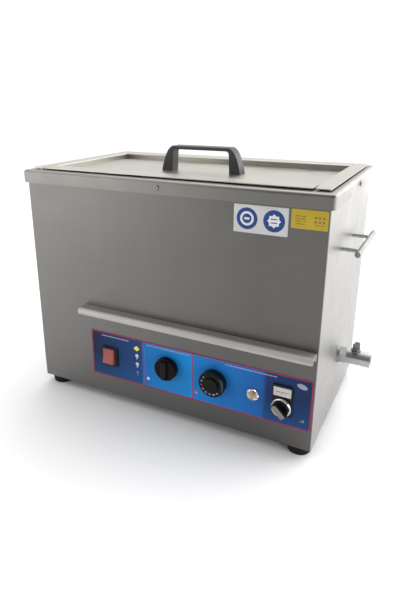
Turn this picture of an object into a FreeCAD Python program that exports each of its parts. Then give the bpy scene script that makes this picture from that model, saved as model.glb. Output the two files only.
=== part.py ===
import FreeCAD, Part
import math
import os
import Sketcher

# Benchtop heated wax bath: stainless casing, welded tank under a folded rim,
# lift-off pan lid, control panel along the foot of the front, drain valve on
# the right side and a bar handle on each side.
#
# Geometry is laid out in the casing's own frame: x = 0, y = 0 at the middle of
# the casing, z = 0 at its bottom edge, front at -Y. Every sub-part then gets
# the same Placement offset, which puts the origin at the bottom centre of the
# whole object's box, on the surface that the feet stand on.

App = FreeCAD
V = App.Vector
doc = App.newDocument("heated_wax_bath")
sheet = doc.addObject("Spreadsheet::Sheet", "dims")

SIZES = [
    ("origin_x", -10.1, "shift of the casing frame to the object's box centre"),
    ("origin_y", 6.3, "same, depth"),
    ("origin_z", 15.0, "height of the feet"),
    ("case_w", 480.0, "casing width"),
    ("case_d", 288.0, "casing depth"),
    ("case_top", 363.3, "top edge of the casing walls"),
    ("skin", 1.2, "casing sheet"),
    ("bend", 2.0, "outer bend radius of the casing"),
    ("base_lip", 36.0, "bottom flange of the casing"),
    ("back_lip", 14.0, "rear flange of the casing"),
    ("rim_w", 490.0, "rim width"),
    ("rim_d", 297.0, "rim depth"),
    ("rim_top", 365.0, "top of the rim"),
    ("rim_skin", 1.5, "rim sheet"),
    ("rim_skirt", 19.5, "rim skirt height"),
    ("rim_bend", 4.5, "rim outer bend radius"),
    ("rim_screw_z", 355.0, "height of the rim screws"),
    ("rim_screw_y", 12.0, "side rim screw, along the depth"),
    ("tank_l", 432.0, "tank inside length"),
    ("tank_w", 214.0, "tank inside width"),
    ("tank_floor", 150.0, "inside floor of the tank"),
    ("tank_skin", 1.2, "tank sheet"),
    ("tank_corner", 8.0, "tank upright corner radius"),
    ("tank_foot", 5.0, "tank floor corner radius"),
    ("lid_l", 471.0, "lid flange length"),
    ("lid_w", 267.0, "lid flange width"),
    ("lid_under", 367.0, "underside of the lid flange"),
    ("lid_skin", 1.2, "lid sheet"),
    ("pan_l", 426.4, "outside length of the lid's sunk pan"),
    ("pan_w", 208.4, "outside width of the lid's sunk pan"),
    ("pan_floor", 358.5, "top face of the sunk panel"),
    ("grip_l", 138.0, "lid handle length"),
    ("grip_h", 40.0, "lid handle height"),
    ("grip_d", 23.0, "lid handle depth"),
    ("grip_bar", 5.5, "lid handle bar thickness"),
    ("grip_leg", 18.5, "lid handle leg width at its foot"),
    ("grip_screw", 59.0, "lid handle screw, from the middle"),
    ("foot_x", 219.0, "foot centre"),
    ("foot_y", 123.0, "foot centre"),
    ("foot_top", 18.5, "foot top radius"),
    ("foot_low", 16.6, "foot bottom radius"),
    ("foot_tall", 15.0, "foot height"),
    ("ledge_left", -142.0, "left end of the drip ledge"),
    ("ledge_right", 237.6, "right end of the drip ledge"),
    ("ledge_z", 153.2, "top of the drip ledge"),
    ("ledge_out", 19.5, "reach of the drip ledge"),
    ("ledge_lip", 9.6, "front lip of the drip ledge"),
    ("ledge_bend", 7.0, "outer bend radius of the ledge"),
    ("panel_left", -132.0, "control panel overlay"),
    ("panel_right", 237.4, "control panel overlay"),
    ("panel_low", 31.0, "control panel overlay"),
    ("panel_high", 111.0, "control panel overlay"),
    ("panel_film", 0.5, "overlay thickness"),
    ("power_x", -95.9, "power switch centre"),
    ("power_z", 69.6, "power switch centre"),
    ("timer_x", 12.5, "timer knob centre"),
    ("timer_z", 76.6, "timer knob centre"),
    ("timer_r", 18.2, "timer knob radius"),
    ("stat_x", 91.3, "thermostat knob centre"),
    ("stat_z", 73.1, "thermostat knob centre"),
    ("stat_r", 20.5, "thermostat knob radius"),
    ("lamp_x", 152.0, "pilot lamp centre"),
    ("lamp_z", 68.3, "pilot lamp centre"),
    ("pick_x", 195.5, "selector centre"),
    ("pick_z", 61.5, "selector centre"),
    ("knob_gap", 2.7, "air under the knobs"),
    ("drain_y", 4.0, "drain axis"),
    ("drain_z", 85.0, "drain axis"),
    ("drain_x", 176.0, "drain hole in the tank floor"),
    ("valve_x", 243.4, "inlet end of the valve body"),
    ("valve_end", 288.8, "outlet end of the valve body"),
    ("valve_mid", 266.0, "ball centre"),
    ("outlet_r", 9.3, "outlet thread, minor radius"),
    ("outlet_deep", 12.0, "outlet thread length"),
    ("ball_r", 9.0, "valve ball radius"),
    ("bar_x", 264.6, "side handle bar axis"),
    ("bar_z", 273.4, "side handle bar axis"),
    ("bar_front", -74.6, "side handle bar, front end"),
    ("bar_l", 136.0, "side handle bar length"),
    ("bar_r", 4.0, "side handle bar radius"),
    ("post_front", -52.4, "front handle post"),
    ("post_back", 30.9, "rear handle post"),
    ("post_r", 3.0, "handle post radius"),
    ("inlet_x", -165.0, "mains inlet centre"),
    ("inlet_z", 62.0, "mains inlet centre"),
]


class Len:
    """A size: its number, and the spreadsheet expression that gives it."""

    def __init__(self, v, e):
        self.v, self.e = float(v), e

    def _mix(self, other, op, swap=False):
        o = other if isinstance(other, Len) else Len(other, "(%r)" % float(other))
        a, b = (o, self) if swap else (self, o)
        v = {"+": lambda: a.v + b.v, "-": lambda: a.v - b.v, "*": lambda: a.v * b.v, "/": lambda: a.v / b.v}[op]()
        return Len(v, "(%s %s %s)" % (a.e, op, b.e))

    def __add__(self, o):
        return self._mix(o, "+")

    def __radd__(self, o):
        return self._mix(o, "+", True)

    def __sub__(self, o):
        return self._mix(o, "-")

    def __rsub__(self, o):
        return self._mix(o, "-", True)

    def __mul__(self, o):
        return self._mix(o, "*")

    def __rmul__(self, o):
        return self._mix(o, "*", True)

    def __truediv__(self, o):
        return self._mix(o, "/")

    def __neg__(self):
        return self * -1.0


class Dims:
    pass


d = Dims()
for row, (alias, value, note) in enumerate(SIZES, 1):
    sheet.set("A%d" % row, alias)
    sheet.set("B%d" % row, str(value))
    sheet.set("C%d" % row, note)
    sheet.setAlias("B%d" % row, alias)
    setattr(d, alias, Len(value, "dims." + alias))
doc.recompute()


def val(x):
    return x.v if isinstance(x, Len) else float(x)


def bind(obj, prop, x):
    if isinstance(x, Len):
        obj.setExpression(prop, x.e)
    else:
        obj.setExpression(prop, "%r" % float(x))


TURN = {
    "Z": App.Rotation(),
    "-Z": App.Rotation(V(1, 0, 0), 180),
    "X": App.Rotation(V(0, 1, 0), 90),
    "-X": App.Rotation(V(0, 1, 0), -90),
    "Y": App.Rotation(V(1, 0, 0), -90),
    "-Y": App.Rotation(V(1, 0, 0), 90),
}
WHERE = {}
NODES = []


def put(obj, x=0, y=0, z=0, turn=None):
    if turn is not None:
        obj.Placement = App.Placement(V(0, 0, 0), turn)
    for k, e in zip("xyz", (x, y, z)):
        bind(obj, ".Placement.Base." + k, e)
    WHERE[obj.Name] = (x, y, z)
    return obj


def box(name, x, y, z, lx, ly, lz):
    o = doc.addObject("Part::Box", name)
    bind(o, "Length", lx)
    bind(o, "Width", ly)
    bind(o, "Height", lz)
    return put(o, x, y, z)


def span(name, x0, x1, y0, y1, z0, z1):
    return box(name, x0, y0, z0, x1 - x0, y1 - y0, z1 - z0)


def rod(name, axis, x, y, z, r, length):
    o = doc.addObject("Part::Cylinder", name)
    bind(o, "Radius", r)
    bind(o, "Height", length)
    return put(o, x, y, z, TURN[axis])


def cone(name, axis, x, y, z, r0, r1, length):
    o = doc.addObject("Part::Cone", name)
    bind(o, "Radius1", r0)
    bind(o, "Radius2", r1)
    bind(o, "Height", length)
    return put(o, x, y, z, TURN[axis])


def ball(name, x, y, z, r):
    o = doc.addObject("Part::Sphere", name)
    bind(o, "Radius", r)
    return put(o, x, y, z)


def hexa(name, axis, x, y, z, across, length):
    o = doc.addObject("Part::Prism", name)
    o.Polygon = 6
    bind(o, "Circumradius", across / math.sqrt(3.0))
    bind(o, "Height", length)
    return put(o, x, y, z, TURN[axis])


def fuse(name, parts):
    o = doc.addObject("Part::MultiFuse", name)
    o.Shapes = list(parts)
    return put(o)


def cut(name, base, tools):
    tools = list(tools)
    tool = tools[0] if len(tools) == 1 else fuse(name + "_tools", tools)
    o = doc.addObject("Part::Cut", name)
    o.Base, o.Tool = base, tool
    return put(o)


def group(name, parts):
    o = doc.addObject("Part::Compound", name)
    o.Links = list(parts)
    return put(o)


def near(a, b, tol=1e-4):
    return abs(a - b) < tol


def round_edges(name, base, radius, pick):
    """Part::Fillet on the edges that pick() takes."""
    doc.recompute()
    ids = [i for i, e in enumerate(base.Shape.Edges, 1) if pick(e.BoundBox, e)]
    if not ids:
        raise RuntimeError("no edge found for " + name)
    o = doc.addObject("Part::Fillet", name)
    o.Base = base
    o.Edges = [(i, val(radius), val(radius)) for i in ids]
    return put(o)


def upright(b, e):
    return b.ZLength > 1 and b.XLength < 1e-4 and b.YLength < 1e-4


def node(obj, label):
    """Marks obj as a sub-part and gives it the shared offset."""
    obj.Label = label
    x, y, z = WHERE.get(obj.Name, (0, 0, 0))
    for k, e, o in zip("xyz", (x, y, z), (d.origin_x, d.origin_y, d.origin_z)):
        bind(obj, ".Placement.Base." + k, o + e)
    NODES.append(obj)
    return obj


# ---- PartDesign helpers ---------------------------------------------------

def body(name, x=0, y=0, z=0, turn=None):
    b = doc.addObject("PartDesign::Body", name)
    if turn is not None:
        b.Placement = App.Placement(V(0, 0, 0), turn)
    WHERE[b.Name] = (x, y, z)
    return b


def sketch(b, role, name, lift=0):
    sk = b.newObject("Sketcher::SketchObject", name)
    plane = [f for f in b.Origin.OriginFeatures if f.Role == role][0]
    sk.AttachmentSupport = [(plane, "")]
    sk.MapMode = "FlatFace"
    bind(sk, ".AttachmentOffset.Base.z", lift)
    return sk


def pin_point(sk, geo, pos, x, y):
    for kind, axis, e in (("DistanceX", -2, x), ("DistanceY", -1, y)):
        if near(val(e), 0, 1e-9):
            sk.addConstraint(Sketch_Constraint("PointOnObject", geo, pos, axis))
        else:
            n = sk.addConstraint(Sketch_Constraint(kind, -1, 1, geo, pos, val(e)))
            if isinstance(e, Len):
                sk.setExpression("Constraints[%d]" % n, e.e)


Sketch_Constraint = Sketcher.Constraint


def poly(sk, pts):
    """A closed outline whose corners are each tied to the sketch's origin."""
    n = len(pts)
    first = sk.GeometryCount
    for i in range(n):
        a, b_ = pts[i], pts[(i + 1) % n]
        sk.addGeometry(Part.LineSegment(V(val(a[0]), val(a[1]), 0), V(val(b_[0]), val(b_[1]), 0)), False)
    for i in range(n):
        sk.addConstraint(Sketch_Constraint("Coincident", first + i, 2, first + (i + 1) % n, 1))
    for i in range(n):
        pin_point(sk, first + i, 1, pts[i][0], pts[i][1])


def rect(sk, x0, x1, y0, y1):
    poly(sk, [(x0, y0), (x1, y0), (x1, y1), (x0, y1)])


def ring(sk, x, y, r):
    g = sk.addGeometry(Part.Circle(V(val(x), val(y), 0), V(0, 0, 1), val(r)), False)
    pin_point(sk, g, 3, x, y)
    n = sk.addConstraint(Sketch_Constraint("Radius", g, val(r)))
    if isinstance(r, Len):
        sk.setExpression("Constraints[%d]" % n, r.e)


def pad(b, sk, name, length, back=False):
    f = b.newObject("PartDesign::Pad", name)
    f.Profile = sk
    bind(f, "Length", length)
    f.Reversed = back
    doc.recompute()
    return f


def pocket(b, sk, name, length, back=False):
    before = b.Shape.Volume
    f = b.newObject("PartDesign::Pocket", name)
    f.Profile = sk
    bind(f, "Length", length)
    f.Reversed = back
    doc.recompute()
    if not b.Shape.Volume < before - 1e-6:
        raise RuntimeError(name + " cuts nothing")
    return f


def revolve(b, sk, name):
    f = b.newObject("PartDesign::Revolution", name)
    f.Profile = sk
    f.ReferenceAxis = (sk, ["V_Axis"])
    f.Angle = 360
    doc.recompute()
    return f


def soften(b, name, radius, pick, kind="Fillet"):
    base = b.Tip
    names = ["Edge%d" % i for i, e in enumerate(base.Shape.Edges, 1) if pick(e.BoundBox, e)]
    if not names:
        raise RuntimeError("no edge found for " + name)
    f = b.newObject("PartDesign::" + kind, name)
    f.Base = (base, names)
    bind(f, "Radius" if kind == "Fillet" else "Size", radius)
    doc.recompute()
    return f


def tube(points, r, bends):
    """A round tube along straight runs joined by tangent arcs. Returns (solid, path length)."""
    P = [V(*p) for p in points]
    edges, start = [], P[0]
    for i in range(1, len(P) - 1):
        a, c, e = P[i - 1], P[i], P[i + 1]
        u, w = (a - c), (e - c)
        lu, lw = u.Length, w.Length
        u.normalize()
        w.normalize()
        turn = math.pi - math.acos(max(-1, min(1, u.dot(w))))
        rad = min(bends, 0.45 * min(lu, lw) / math.tan(turn / 2))
        back = rad * math.tan(turn / 2)
        t0, t1 = c + u * back, c + w * back
        half = u + w
        half.normalize()
        mid = c + half * (rad / math.cos(turn / 2) - rad)
        edges.append(Part.LineSegment(start, t0).toShape())
        edges.append(Part.Arc(t0, mid, t1).toShape())
        start = t1
    edges.append(Part.LineSegment(start, P[-1]).toShape())
    path = Part.Wire(edges)
    way = P[1] - P[0]
    face = Part.Wire([Part.Circle(P[0], way, r).toShape()])
    solid = path.makePipeShell([face], True, False)
    if not near(solid.Volume, math.pi * r * r * path.Length, 0.01 * solid.Volume):
        raise RuntimeError("tube volume is off")
    return solid, path.Length


def raw(name, shape):
    o = doc.addObject("Part::Feature", name)
    o.Shape = shape
    WHERE[o.Name] = (0, 0, 0)
    return o


# ---------------------------------------------------------------------------
# Casing
# ---------------------------------------------------------------------------
hw, hd = d.case_w / 2, d.case_d / 2
front = -hd  # outside of the front wall
film = front - d.panel_film  # outside of the control panel overlay

shell_out = box("casing_block", -hw, -hd, 0, d.case_w, d.case_d, d.case_top)
shell_out = round_edges("casing_bends", shell_out, d.bend, lambda b, e: upright(b, e) and near(b.YMin, -144.0))
shell_in = box("casing_void", -hw + d.skin, -hd + d.skin, -1, d.case_w - d.skin * 2, d.case_d, d.case_top + 2)
shell_in = round_edges("casing_void_bends", shell_in, d.bend - d.skin, lambda b, e: upright(b, e) and near(b.YMin, -142.8))
wrap = cut("casing_wrap", shell_out, [shell_in])
lip = span("base_lip_block", -hw + 0.6, hw - 0.6, -hd + 0.6, hd, 0, d.skin)
lip_hole = span("base_lip_hole", -hw + d.base_lip, hw - d.base_lip, -hd + d.base_lip, hd + 5, -1, d.skin + 1)
base_flange = cut("base_flange", lip, [lip_hole])
back_l = span("back_flange_left", -hw + 0.6, -hw + d.back_lip, hd - d.skin * 2, hd - d.skin, 0, d.case_top)
back_r = span("back_flange_right", hw - d.back_lip, hw - 0.6, hd - d.skin * 2, hd - d.skin, 0, d.case_top)
folded = fuse("casing_folded", [wrap, base_flange, back_l, back_r])

holes = [
    span("power_cutout", d.power_x - 14, d.power_x + 14, front - 2, front + 5, d.power_z - 15.8, d.power_z + 15.8),
    rod("timer_hole", "Y", d.timer_x, front - 2, d.timer_z, 5.6, 8),
    rod("timer_screw_hole_a", "Y", d.timer_x - 14, front - 2, d.timer_z, 1.9, 8),
    rod("timer_screw_hole_b", "Y", d.timer_x + 14, front - 2, d.timer_z, 1.9, 8),
    rod("stat_hole", "Y", d.stat_x, front - 2, d.stat_z, 5.6, 8),
    rod("stat_screw_hole_a", "Y", d.stat_x - 14, front - 2, d.stat_z, 1.9, 8),
    rod("stat_screw_hole_b", "Y", d.stat_x + 14, front - 2, d.stat_z, 1.9, 8),
    rod("lamp_hole", "Y", d.lamp_x, front - 2, d.lamp_z, 7.2, 8),
    rod("pick_hole", "Y", d.pick_x, front - 2, d.pick_z, 11.2, 8),
    rod("drain_wall_hole", "X", hw - 5, d.drain_y, d.drain_z, 11.0, 10),
    rod("rim_hole_front", "Y", 0, front - 2, d.rim_screw_z, 2.2, 8),
    rod("rim_hole_right", "X", hw - 5, d.rim_screw_y, d.rim_screw_z, 2.2, 10),
    rod("rim_hole_left", "X", -hw - 5, d.rim_screw_y, d.rim_screw_z, 2.2, 10),
]
for side, x0 in (("right", hw - 5), ("left", -hw - 5)):
    for end, y0 in (("front", d.post_front), ("back", d.post_back)):
        holes.append(rod("post_hole_%s_%s" % (side, end), "X", x0, y0, d.bar_z, 2.2, 10))
for i, (sx, sy) in enumerate(((-1, -1), (1, -1), (-1, 1), (1, 1))):
    holes.append(rod("foot_hole_%d" % i, "Z", d.foot_x * sx, d.foot_y * sy, -3, 2.8, 8))
for i, (sx, z) in enumerate(((-1, 30.0), (-1, 180.0), (-1, 330.0), (1, 30.0), (1, 180.0), (1, 330.0))):
    holes.append(rod("back_hole_%d" % i, "Y", (hw - 8) * sx, hd - 5, z, 1.7, 8))
node(cut("outer_casing", folded, holes), "outer_casing")

# Rear panel: flat sheet between the side walls, with two rows of vent slots.
b = body("rear_panel")
sk = sketch(b, "XZ_Plane", "rear_outline", -hd)
rect(sk, -hw + d.skin + 0.4, hw - d.skin - 0.4, 1.6, d.case_top - 1.0)
pad(b, sk, "rear_sheet", d.skin)
sk = sketch(b, "XZ_Plane", "rear_inlet_cutout", -hd)
rect(sk, d.inlet_x - 14, d.inlet_x + 14, d.inlet_z - 25, d.inlet_z + 25)
f = b.newObject("PartDesign::Pocket", "rear_inlet_hole")
f.Profile = sk
f.Type = 1
f.Midplane = True
doc.recompute()
sk = sketch(b, "XZ_Plane", "rear_screw_holes", -hd)
for sx in (-1, 1):
    for z in (30.0, 180.0, 330.0):
        ring(sk, (hw - 8) * sx, z, 1.9)
ring(sk, 0, d.rim_screw_z, 2.2)
f = b.newObject("PartDesign::Pocket", "rear_holes")
f.Profile = sk
f.Type = 1
f.Midplane = True
doc.recompute()
sk = sketch(b, "XZ_Plane", "vent_slot", -hd)
rect(sk, 40, 90, 36, 40)
vent = b.newObject("PartDesign::Pocket", "vent_slot_cut")
vent.Profile = sk
vent.Type = 1
vent.Midplane = True
doc.recompute()
v0 = b.Shape.Volume
rows = b.newObject("PartDesign::LinearPattern", "vent_rows")
rows.Originals = [vent]
rows.Direction = (sk, ["V_Axis"])
rows.Length = 60
rows.Occurrences = 6
b.Tip = rows
doc.recompute()
if not b.Shape.Volume < v0 - 1:
    raise RuntimeError("vent rows cut nothing")
sk = sketch(b, "XZ_Plane", "vent_slot_b", -hd)
rect(sk, 110, 160, 36, 40)
vent = b.newObject("PartDesign::Pocket", "vent_slot_cut_b")
vent.Profile = sk
vent.Type = 1
vent.Midplane = True
doc.recompute()
rows = b.newObject("PartDesign::LinearPattern", "vent_rows_b")
rows.Originals = [vent]
rows.Direction = (sk, ["V_Axis"])
rows.Length = 60
rows.Occurrences = 6
b.Tip = rows
doc.recompute()
node(b, "rear_panel")

# Bottom plate: lies on the casing's bottom flange.
b = body("bottom_plate")
sk = sketch(b, "XY_Plane", "plate_outline", d.skin)
rect(sk, -hw + d.skin + 0.8, hw - d.skin - 0.8, -hd + d.skin + 0.8, hd - d.skin * 2 - 0.6)
pad(b, sk, "plate_sheet", 1.5)
sk = sketch(b, "XY_Plane", "plate_holes", d.skin)
for sx in (-1, 1):
    for sy in (-1, 1):
        ring(sk, d.foot_x * sx, d.foot_y * sy, 2.8)
f = b.newObject("PartDesign::Pocket", "plate_holes_cut")
f.Profile = sk
f.Type = 1
f.Midplane = True
doc.recompute()
sk = sketch(b, "XY_Plane", "plate_slot", d.skin)
rect(sk, -50, 50, -40, -35)
vent = b.newObject("PartDesign::Pocket", "plate_slot_cut")
vent.Profile = sk
vent.Type = 1
vent.Midplane = True
doc.recompute()
rows = b.newObject("PartDesign::LinearPattern", "plate_slots")
rows.Originals = [vent]
rows.Direction = (sk, ["V_Axis"])
rows.Length = 75
rows.Occurrences = 6
b.Tip = rows
doc.recompute()
node(b, "bottom_plate")
plate_top = d.skin + 1.5

# Rubber feet with their screws and nuts.
feet, screws, nuts = [], [], []
for i, (sx, sy) in enumerate(((-1, -1), (1, -1), (-1, 1), (1, 1))):
    x, y = d.foot_x * sx, d.foot_y * sy
    low = -d.foot_tall
    c = cone("foot_%d_cone" % i, "Z", x, y, low, d.foot_low, d.foot_top, d.foot_tall)
    c = round_edges("foot_%d_edge" % i, c, 1.0, lambda b_, e: b_.ZLength < 1e-4 and near(b_.ZMin, -15.0))
    feet.append(cut("foot_%d" % i, c, [
        rod("foot_%d_recess" % i, "Z", x, y, low - 1, 6.0, 7.5),
        rod("foot_%d_hole" % i, "Z", x, y, low - 1, 2.6, d.foot_tall + 3)]))
    head = rod("foot_screw_%d_head" % i, "Z", x, y, low + 3.3, 4.75, 3.2)
    head = round_edges("foot_screw_%d_dome" % i, head, 1.6, lambda b_, e: b_.ZLength < 1e-4 and near(b_.ZMin, -11.7))
    shank = rod("foot_screw_%d_shank" % i, "Z", x, y, low + 6.4, 2.5, 18.0)
    slot = box("foot_screw_%d_slot" % i, x - 3, y - 0.5, low + 3.0, 6, 1.0, 1.4)
    slot2 = box("foot_screw_%d_slot2" % i, x - 0.5, y - 3, low + 3.0, 1.0, 6, 1.4)
    screws.append(cut("foot_screw_%d" % i, fuse("foot_screw_%d_blank" % i, [head, shank]), [slot, slot2]))
    nuts.append(cut("foot_nut_%d" % i, hexa("foot_nut_%d_hex" % i, "Z", x, y, plate_top, 8.0, 4.0),
                    [rod("foot_nut_%d_bore" % i, "Z", x, y, plate_top - 1, 2.55, 6)]))
node(group("rubber_feet", feet), "rubber_feet")
node(group("foot_screws", screws), "foot_screws")
node(group("foot_nuts", nuts), "foot_nuts")

# Drip ledge above the control panel: one folded strip, spot-welded by its
# hidden rear leg, its front lip turned down.
b = body("drip_ledge")
sk = sketch(b, "YZ_Plane", "ledge_profile", d.ledge_left)
yo, zt = front - d.ledge_out, d.ledge_z
poly(sk, [
    (front, zt), (yo, zt), (yo, zt - d.ledge_lip), (yo + d.skin, zt - d.ledge_lip),
    (yo + d.skin, zt - d.skin), (front - d.skin, zt - d.skin), (front - d.skin, zt - 11), (front, zt - 11)])
pad(b, sk, "ledge_strip", d.ledge_right - d.ledge_left)
soften(b, "ledge_outer_bend", d.ledge_bend,
       lambda q, e: q.XLength > 300 and near(q.YMin, -163.5) and near(q.ZMin, 153.2))
soften(b, "ledge_inner_bend", d.ledge_bend - d.skin,
       lambda q, e: q.XLength > 300 and near(q.YMin, -162.3) and near(q.ZMin, 152.0) and near(q.YMax, -162.3))
soften(b, "ledge_lip_corners", 2.4,
       lambda q, e: near(q.ZMin, 143.6) and q.XLength < 1e-4 and q.ZLength < 1e-4 and near(q.YMin, -163.5))
node(b, "drip_ledge")

# Control panel overlay, and the two plain labels under the rim.
b = body("panel_overlay")
sk = sketch(b, "XZ_Plane", "overlay_outline", hd)
rect(sk, d.panel_left, d.panel_right, d.panel_low, d.panel_high)
pad(b, sk, "overlay_film", d.panel_film)
soften(b, "overlay_corners_right", 5.0, lambda q, e: q.YLength > 0.3 and near(q.XMin, 237.4) and q.ZLength < 1e-4)
soften(b, "overlay_corners_left", 1.5, lambda q, e: q.YLength > 0.3 and near(q.XMin, -132.0) and q.ZLength < 1e-4)
sk = sketch(b, "XZ_Plane", "overlay_cutouts", hd)
rect(sk, d.power_x - 14, d.power_x + 14, d.power_z - 15.8, d.power_z + 15.8)
for cx, cz in ((d.timer_x, d.timer_z), (d.stat_x, d.stat_z)):
    ring(sk, cx, cz, 5.8)
    ring(sk, cx - 14, cz, 3.8)
    ring(sk, cx + 14, cz, 3.8)
ring(sk, d.lamp_x, d.lamp_z, 7.2)
ring(sk, d.pick_x, d.pick_z, 11.2)
f = b.newObject("PartDesign::Pocket", "overlay_holes")
f.Profile = sk
f.Type = 1
f.Midplane = True
doc.recompute()
node(b, "panel_overlay")

lab = []
for name, x0, x1, z0, z1 in (("white_label", 114.6, 188.0, 305.5, 342.5), ("yellow_label", 191.5, 237.5, 318.5, 343.0)):
    o = span(name, x0, x1, front - 0.3, front, z0, z1)
    lab.append(round_edges(name + "_corners", o, 1.2, lambda q, e: q.YLength > 0.2 and q.XLength < 1e-4 and q.ZLength < 1e-4))
node(group("front_labels", lab), "front_labels")

# ---------------------------------------------------------------------------
# Rim and tank
# ---------------------------------------------------------------------------
rw, rd = d.rim_w / 2, d.rim_d / 2
o = box("rim_block", -rw, -rd, d.rim_top - d.rim_skirt, d.rim_w, d.rim_d, d.rim_skirt)
o = round_edges("rim_block_corners", o, d.rim_bend, upright)
o = round_edges("rim_block_bends", o, d.rim_bend, lambda q, e: q.ZLength < 1e-4 and near(q.ZMin, 365.0))
i_ = box("rim_void", -rw + d.rim_skin, -rd + d.rim_skin, d.rim_top - d.rim_skirt - 2,
         d.rim_w - d.rim_skin * 2, d.rim_d - d.rim_skin * 2, d.rim_skirt + 2 - d.rim_skin)
i_ = round_edges("rim_void_corners", i_, d.rim_bend - d.rim_skin, upright)
i_ = round_edges("rim_void_bends", i_, d.rim_bend - d.rim_skin, lambda q, e: q.ZLength < 1e-4 and near(q.ZMin, 363.5))
tl, tw = d.tank_l / 2 + d.tank_skin, d.tank_w / 2 + d.tank_skin
h = box("rim_opening", -tl, -tw, d.rim_top - 6, tl * 2, tw * 2, 12)
h = round_edges("rim_opening_corners", h, d.tank_corner + d.tank_skin, upright)
node(cut("top_rim", o, [
    i_, h,
    rod("rim_skirt_hole_front", "Y", 0, -rd - 2, d.rim_screw_z, 2.2, 6),
    rod("rim_skirt_hole_back", "Y", 0, rd - 4, d.rim_screw_z, 2.2, 6),
    rod("rim_skirt_hole_right", "X", rw - 4, d.rim_screw_y, d.rim_screw_z, 2.2, 6),
    rod("rim_skirt_hole_left", "X", -rw - 2, d.rim_screw_y, d.rim_screw_z, 2.2, 6)]), "top_rim")

o = box("tank_block", -tl, -tw, d.tank_floor - d.tank_skin, tl * 2, tw * 2, d.rim_top - d.tank_floor + d.tank_skin)
o = round_edges("tank_block_corners", o, d.tank_corner + d.tank_skin, upright)
o = round_edges("tank_block_floor", o, d.tank_foot + d.tank_skin, lambda q, e: q.ZLength < 1e-4 and near(q.ZMin, 148.8))
i_ = box("tank_void", -d.tank_l / 2, -d.tank_w / 2, d.tank_floor, d.tank_l, d.tank_w, d.rim_top - d.tank_floor + 2)
i_ = round_edges("tank_void_corners", i_, d.tank_corner, upright)
i_ = round_edges("tank_void_floor", i_, d.tank_foot, lambda q, e: q.ZLength < 1e-4 and near(q.ZMin, 150.0))
node(cut("inner_tank", o, [i_, rod("tank_drain_hole", "Z", d.drain_x, d.drain_y, d.tank_floor - 6, 8.6, 12)]), "inner_tank")

# One dome-head screw in the middle of each side of the rim skirt, with a
# spacer collar behind the skirt and a clinch nut inside the casing wall.
scr = []
for name, axis, x, y, sgn in (("front", "Y", 0, -rd, 1), ("back", "-Y", 0, rd, -1),
                              ("right", "-X", rw, d.rim_screw_y, -1), ("left", "X", -rw, d.rim_screw_y, 1)):
    inx, iny = {"front": (0, 1), "back": (0, -1), "right": (-1, 0), "left": (1, 0)}[name]
    hx, hy = x - 2.4 * inx, y - 2.4 * iny
    head = rod("rim_screw_%s_head" % name, axis, hx, hy, d.rim_screw_z, 3.8, 2.4)
    doc.recompute()
    lo = head.Shape.BoundBox
    far = {"front": lambda q: near(q.YMax, lo.YMin), "back": lambda q: near(q.YMin, lo.YMax),
           "right": lambda q: near(q.XMin, lo.XMax), "left": lambda q: near(q.XMax, lo.XMin)}[name]
    head = round_edges("rim_screw_%s_dome" % name, head, 2.0, lambda q, e: far(q) and e.Closed)
    shank = rod("rim_screw_%s_shank" % name, axis, x - 0.1 * inx, y - 0.1 * iny, d.rim_screw_z, 2.0, 11.0)
    slot = rod("rim_screw_%s_socket" % name, axis, hx - 0.5 * inx, hy - 0.5 * iny, d.rim_screw_z, 1.1, 1.8)
    scr.append(cut("rim_screw_%s" % name, fuse("rim_screw_%s_blank" % name, [head, shank]), [slot]))
node(group("rim_screws", scr), "rim_screws")

# ---------------------------------------------------------------------------
# Lid
# ---------------------------------------------------------------------------
b = body("lid_pan")
ll, lw = d.lid_l / 2, d.lid_w / 2
pl, pw = d.pan_l / 2, d.pan_w / 2
lid_top = d.lid_under + d.lid_skin
sk = sketch(b, "XY_Plane", "lid_flange_outline", d.lid_under)
rect(sk, -ll, ll, -lw, lw)
pad(b, sk, "lid_flange", d.lid_skin)
sk = sketch(b, "XY_Plane", "lid_pan_outline", d.pan_floor - d.lid_skin)
rect(sk, -pl, pl, -pw, pw)
pad(b, sk, "lid_pan_block", lid_top - d.pan_floor + d.lid_skin)
sk = sketch(b, "XY_Plane", "lid_pan_recess", lid_top)
rect(sk, -pl + d.lid_skin, pl - d.lid_skin, -pw + d.lid_skin, pw - d.lid_skin)
pocket(b, sk, "lid_recess", lid_top - d.pan_floor)
soften(b, "lid_recess_bend", 2.0, lambda q, e: near(q.ZMin, 368.2) and q.ZLength < 1e-4 and
       (near(abs(q.XMin), 212.0) and q.XLength < 1e-4 or near(abs(q.YMin), 103.0) and q.YLength < 1e-4))
soften(b, "lid_under_bend", 0.8, lambda q, e: near(q.ZMin, 367.0) and q.ZLength < 1e-4 and
       (near(abs(q.XMin), 213.2) and q.XLength < 1e-4 or near(abs(q.YMin), 104.2) and q.YLength < 1e-4))
sk = sketch(b, "XY_Plane", "lid_slits", lid_top)
for sx in (-1, 1):
    for sy in (-1, 1):
        wide = 2.3 if (sx, sy) == (1, -1) else 1.5
        poly(sk, [((pl + 0.6) * sx, (pw + 0.8) * sy), ((pl + 0.6 + 0.5) * sx, (pw + 0.8) * sy),
                  ((pl + 0.6 + wide) * sx, (lw + 1) * sy), ((pl + 0.4) * sx, (lw + 1) * sy)])
pocket(b, sk, "lid_slit_cut", d.lid_skin + 0.6)
sk = sketch(b, "XY_Plane", "lid_tabs", d.rim_top)
for sx in (-1, 1):
    for sy in (-1, 1):
        poly(sk, [((pl + 4.2) * sx, (lw - 1.4) * sy), ((pl + 7.2) * sx, (lw - 1.4) * sy),
                  ((pl + 7.2) * sx, (lw - 0.2) * sy), ((pl + 4.2) * sx, (lw - 0.2) * sy)])
pad(b, sk, "lid_tab_pads", d.lid_under - d.rim_top + 0.4)
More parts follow.
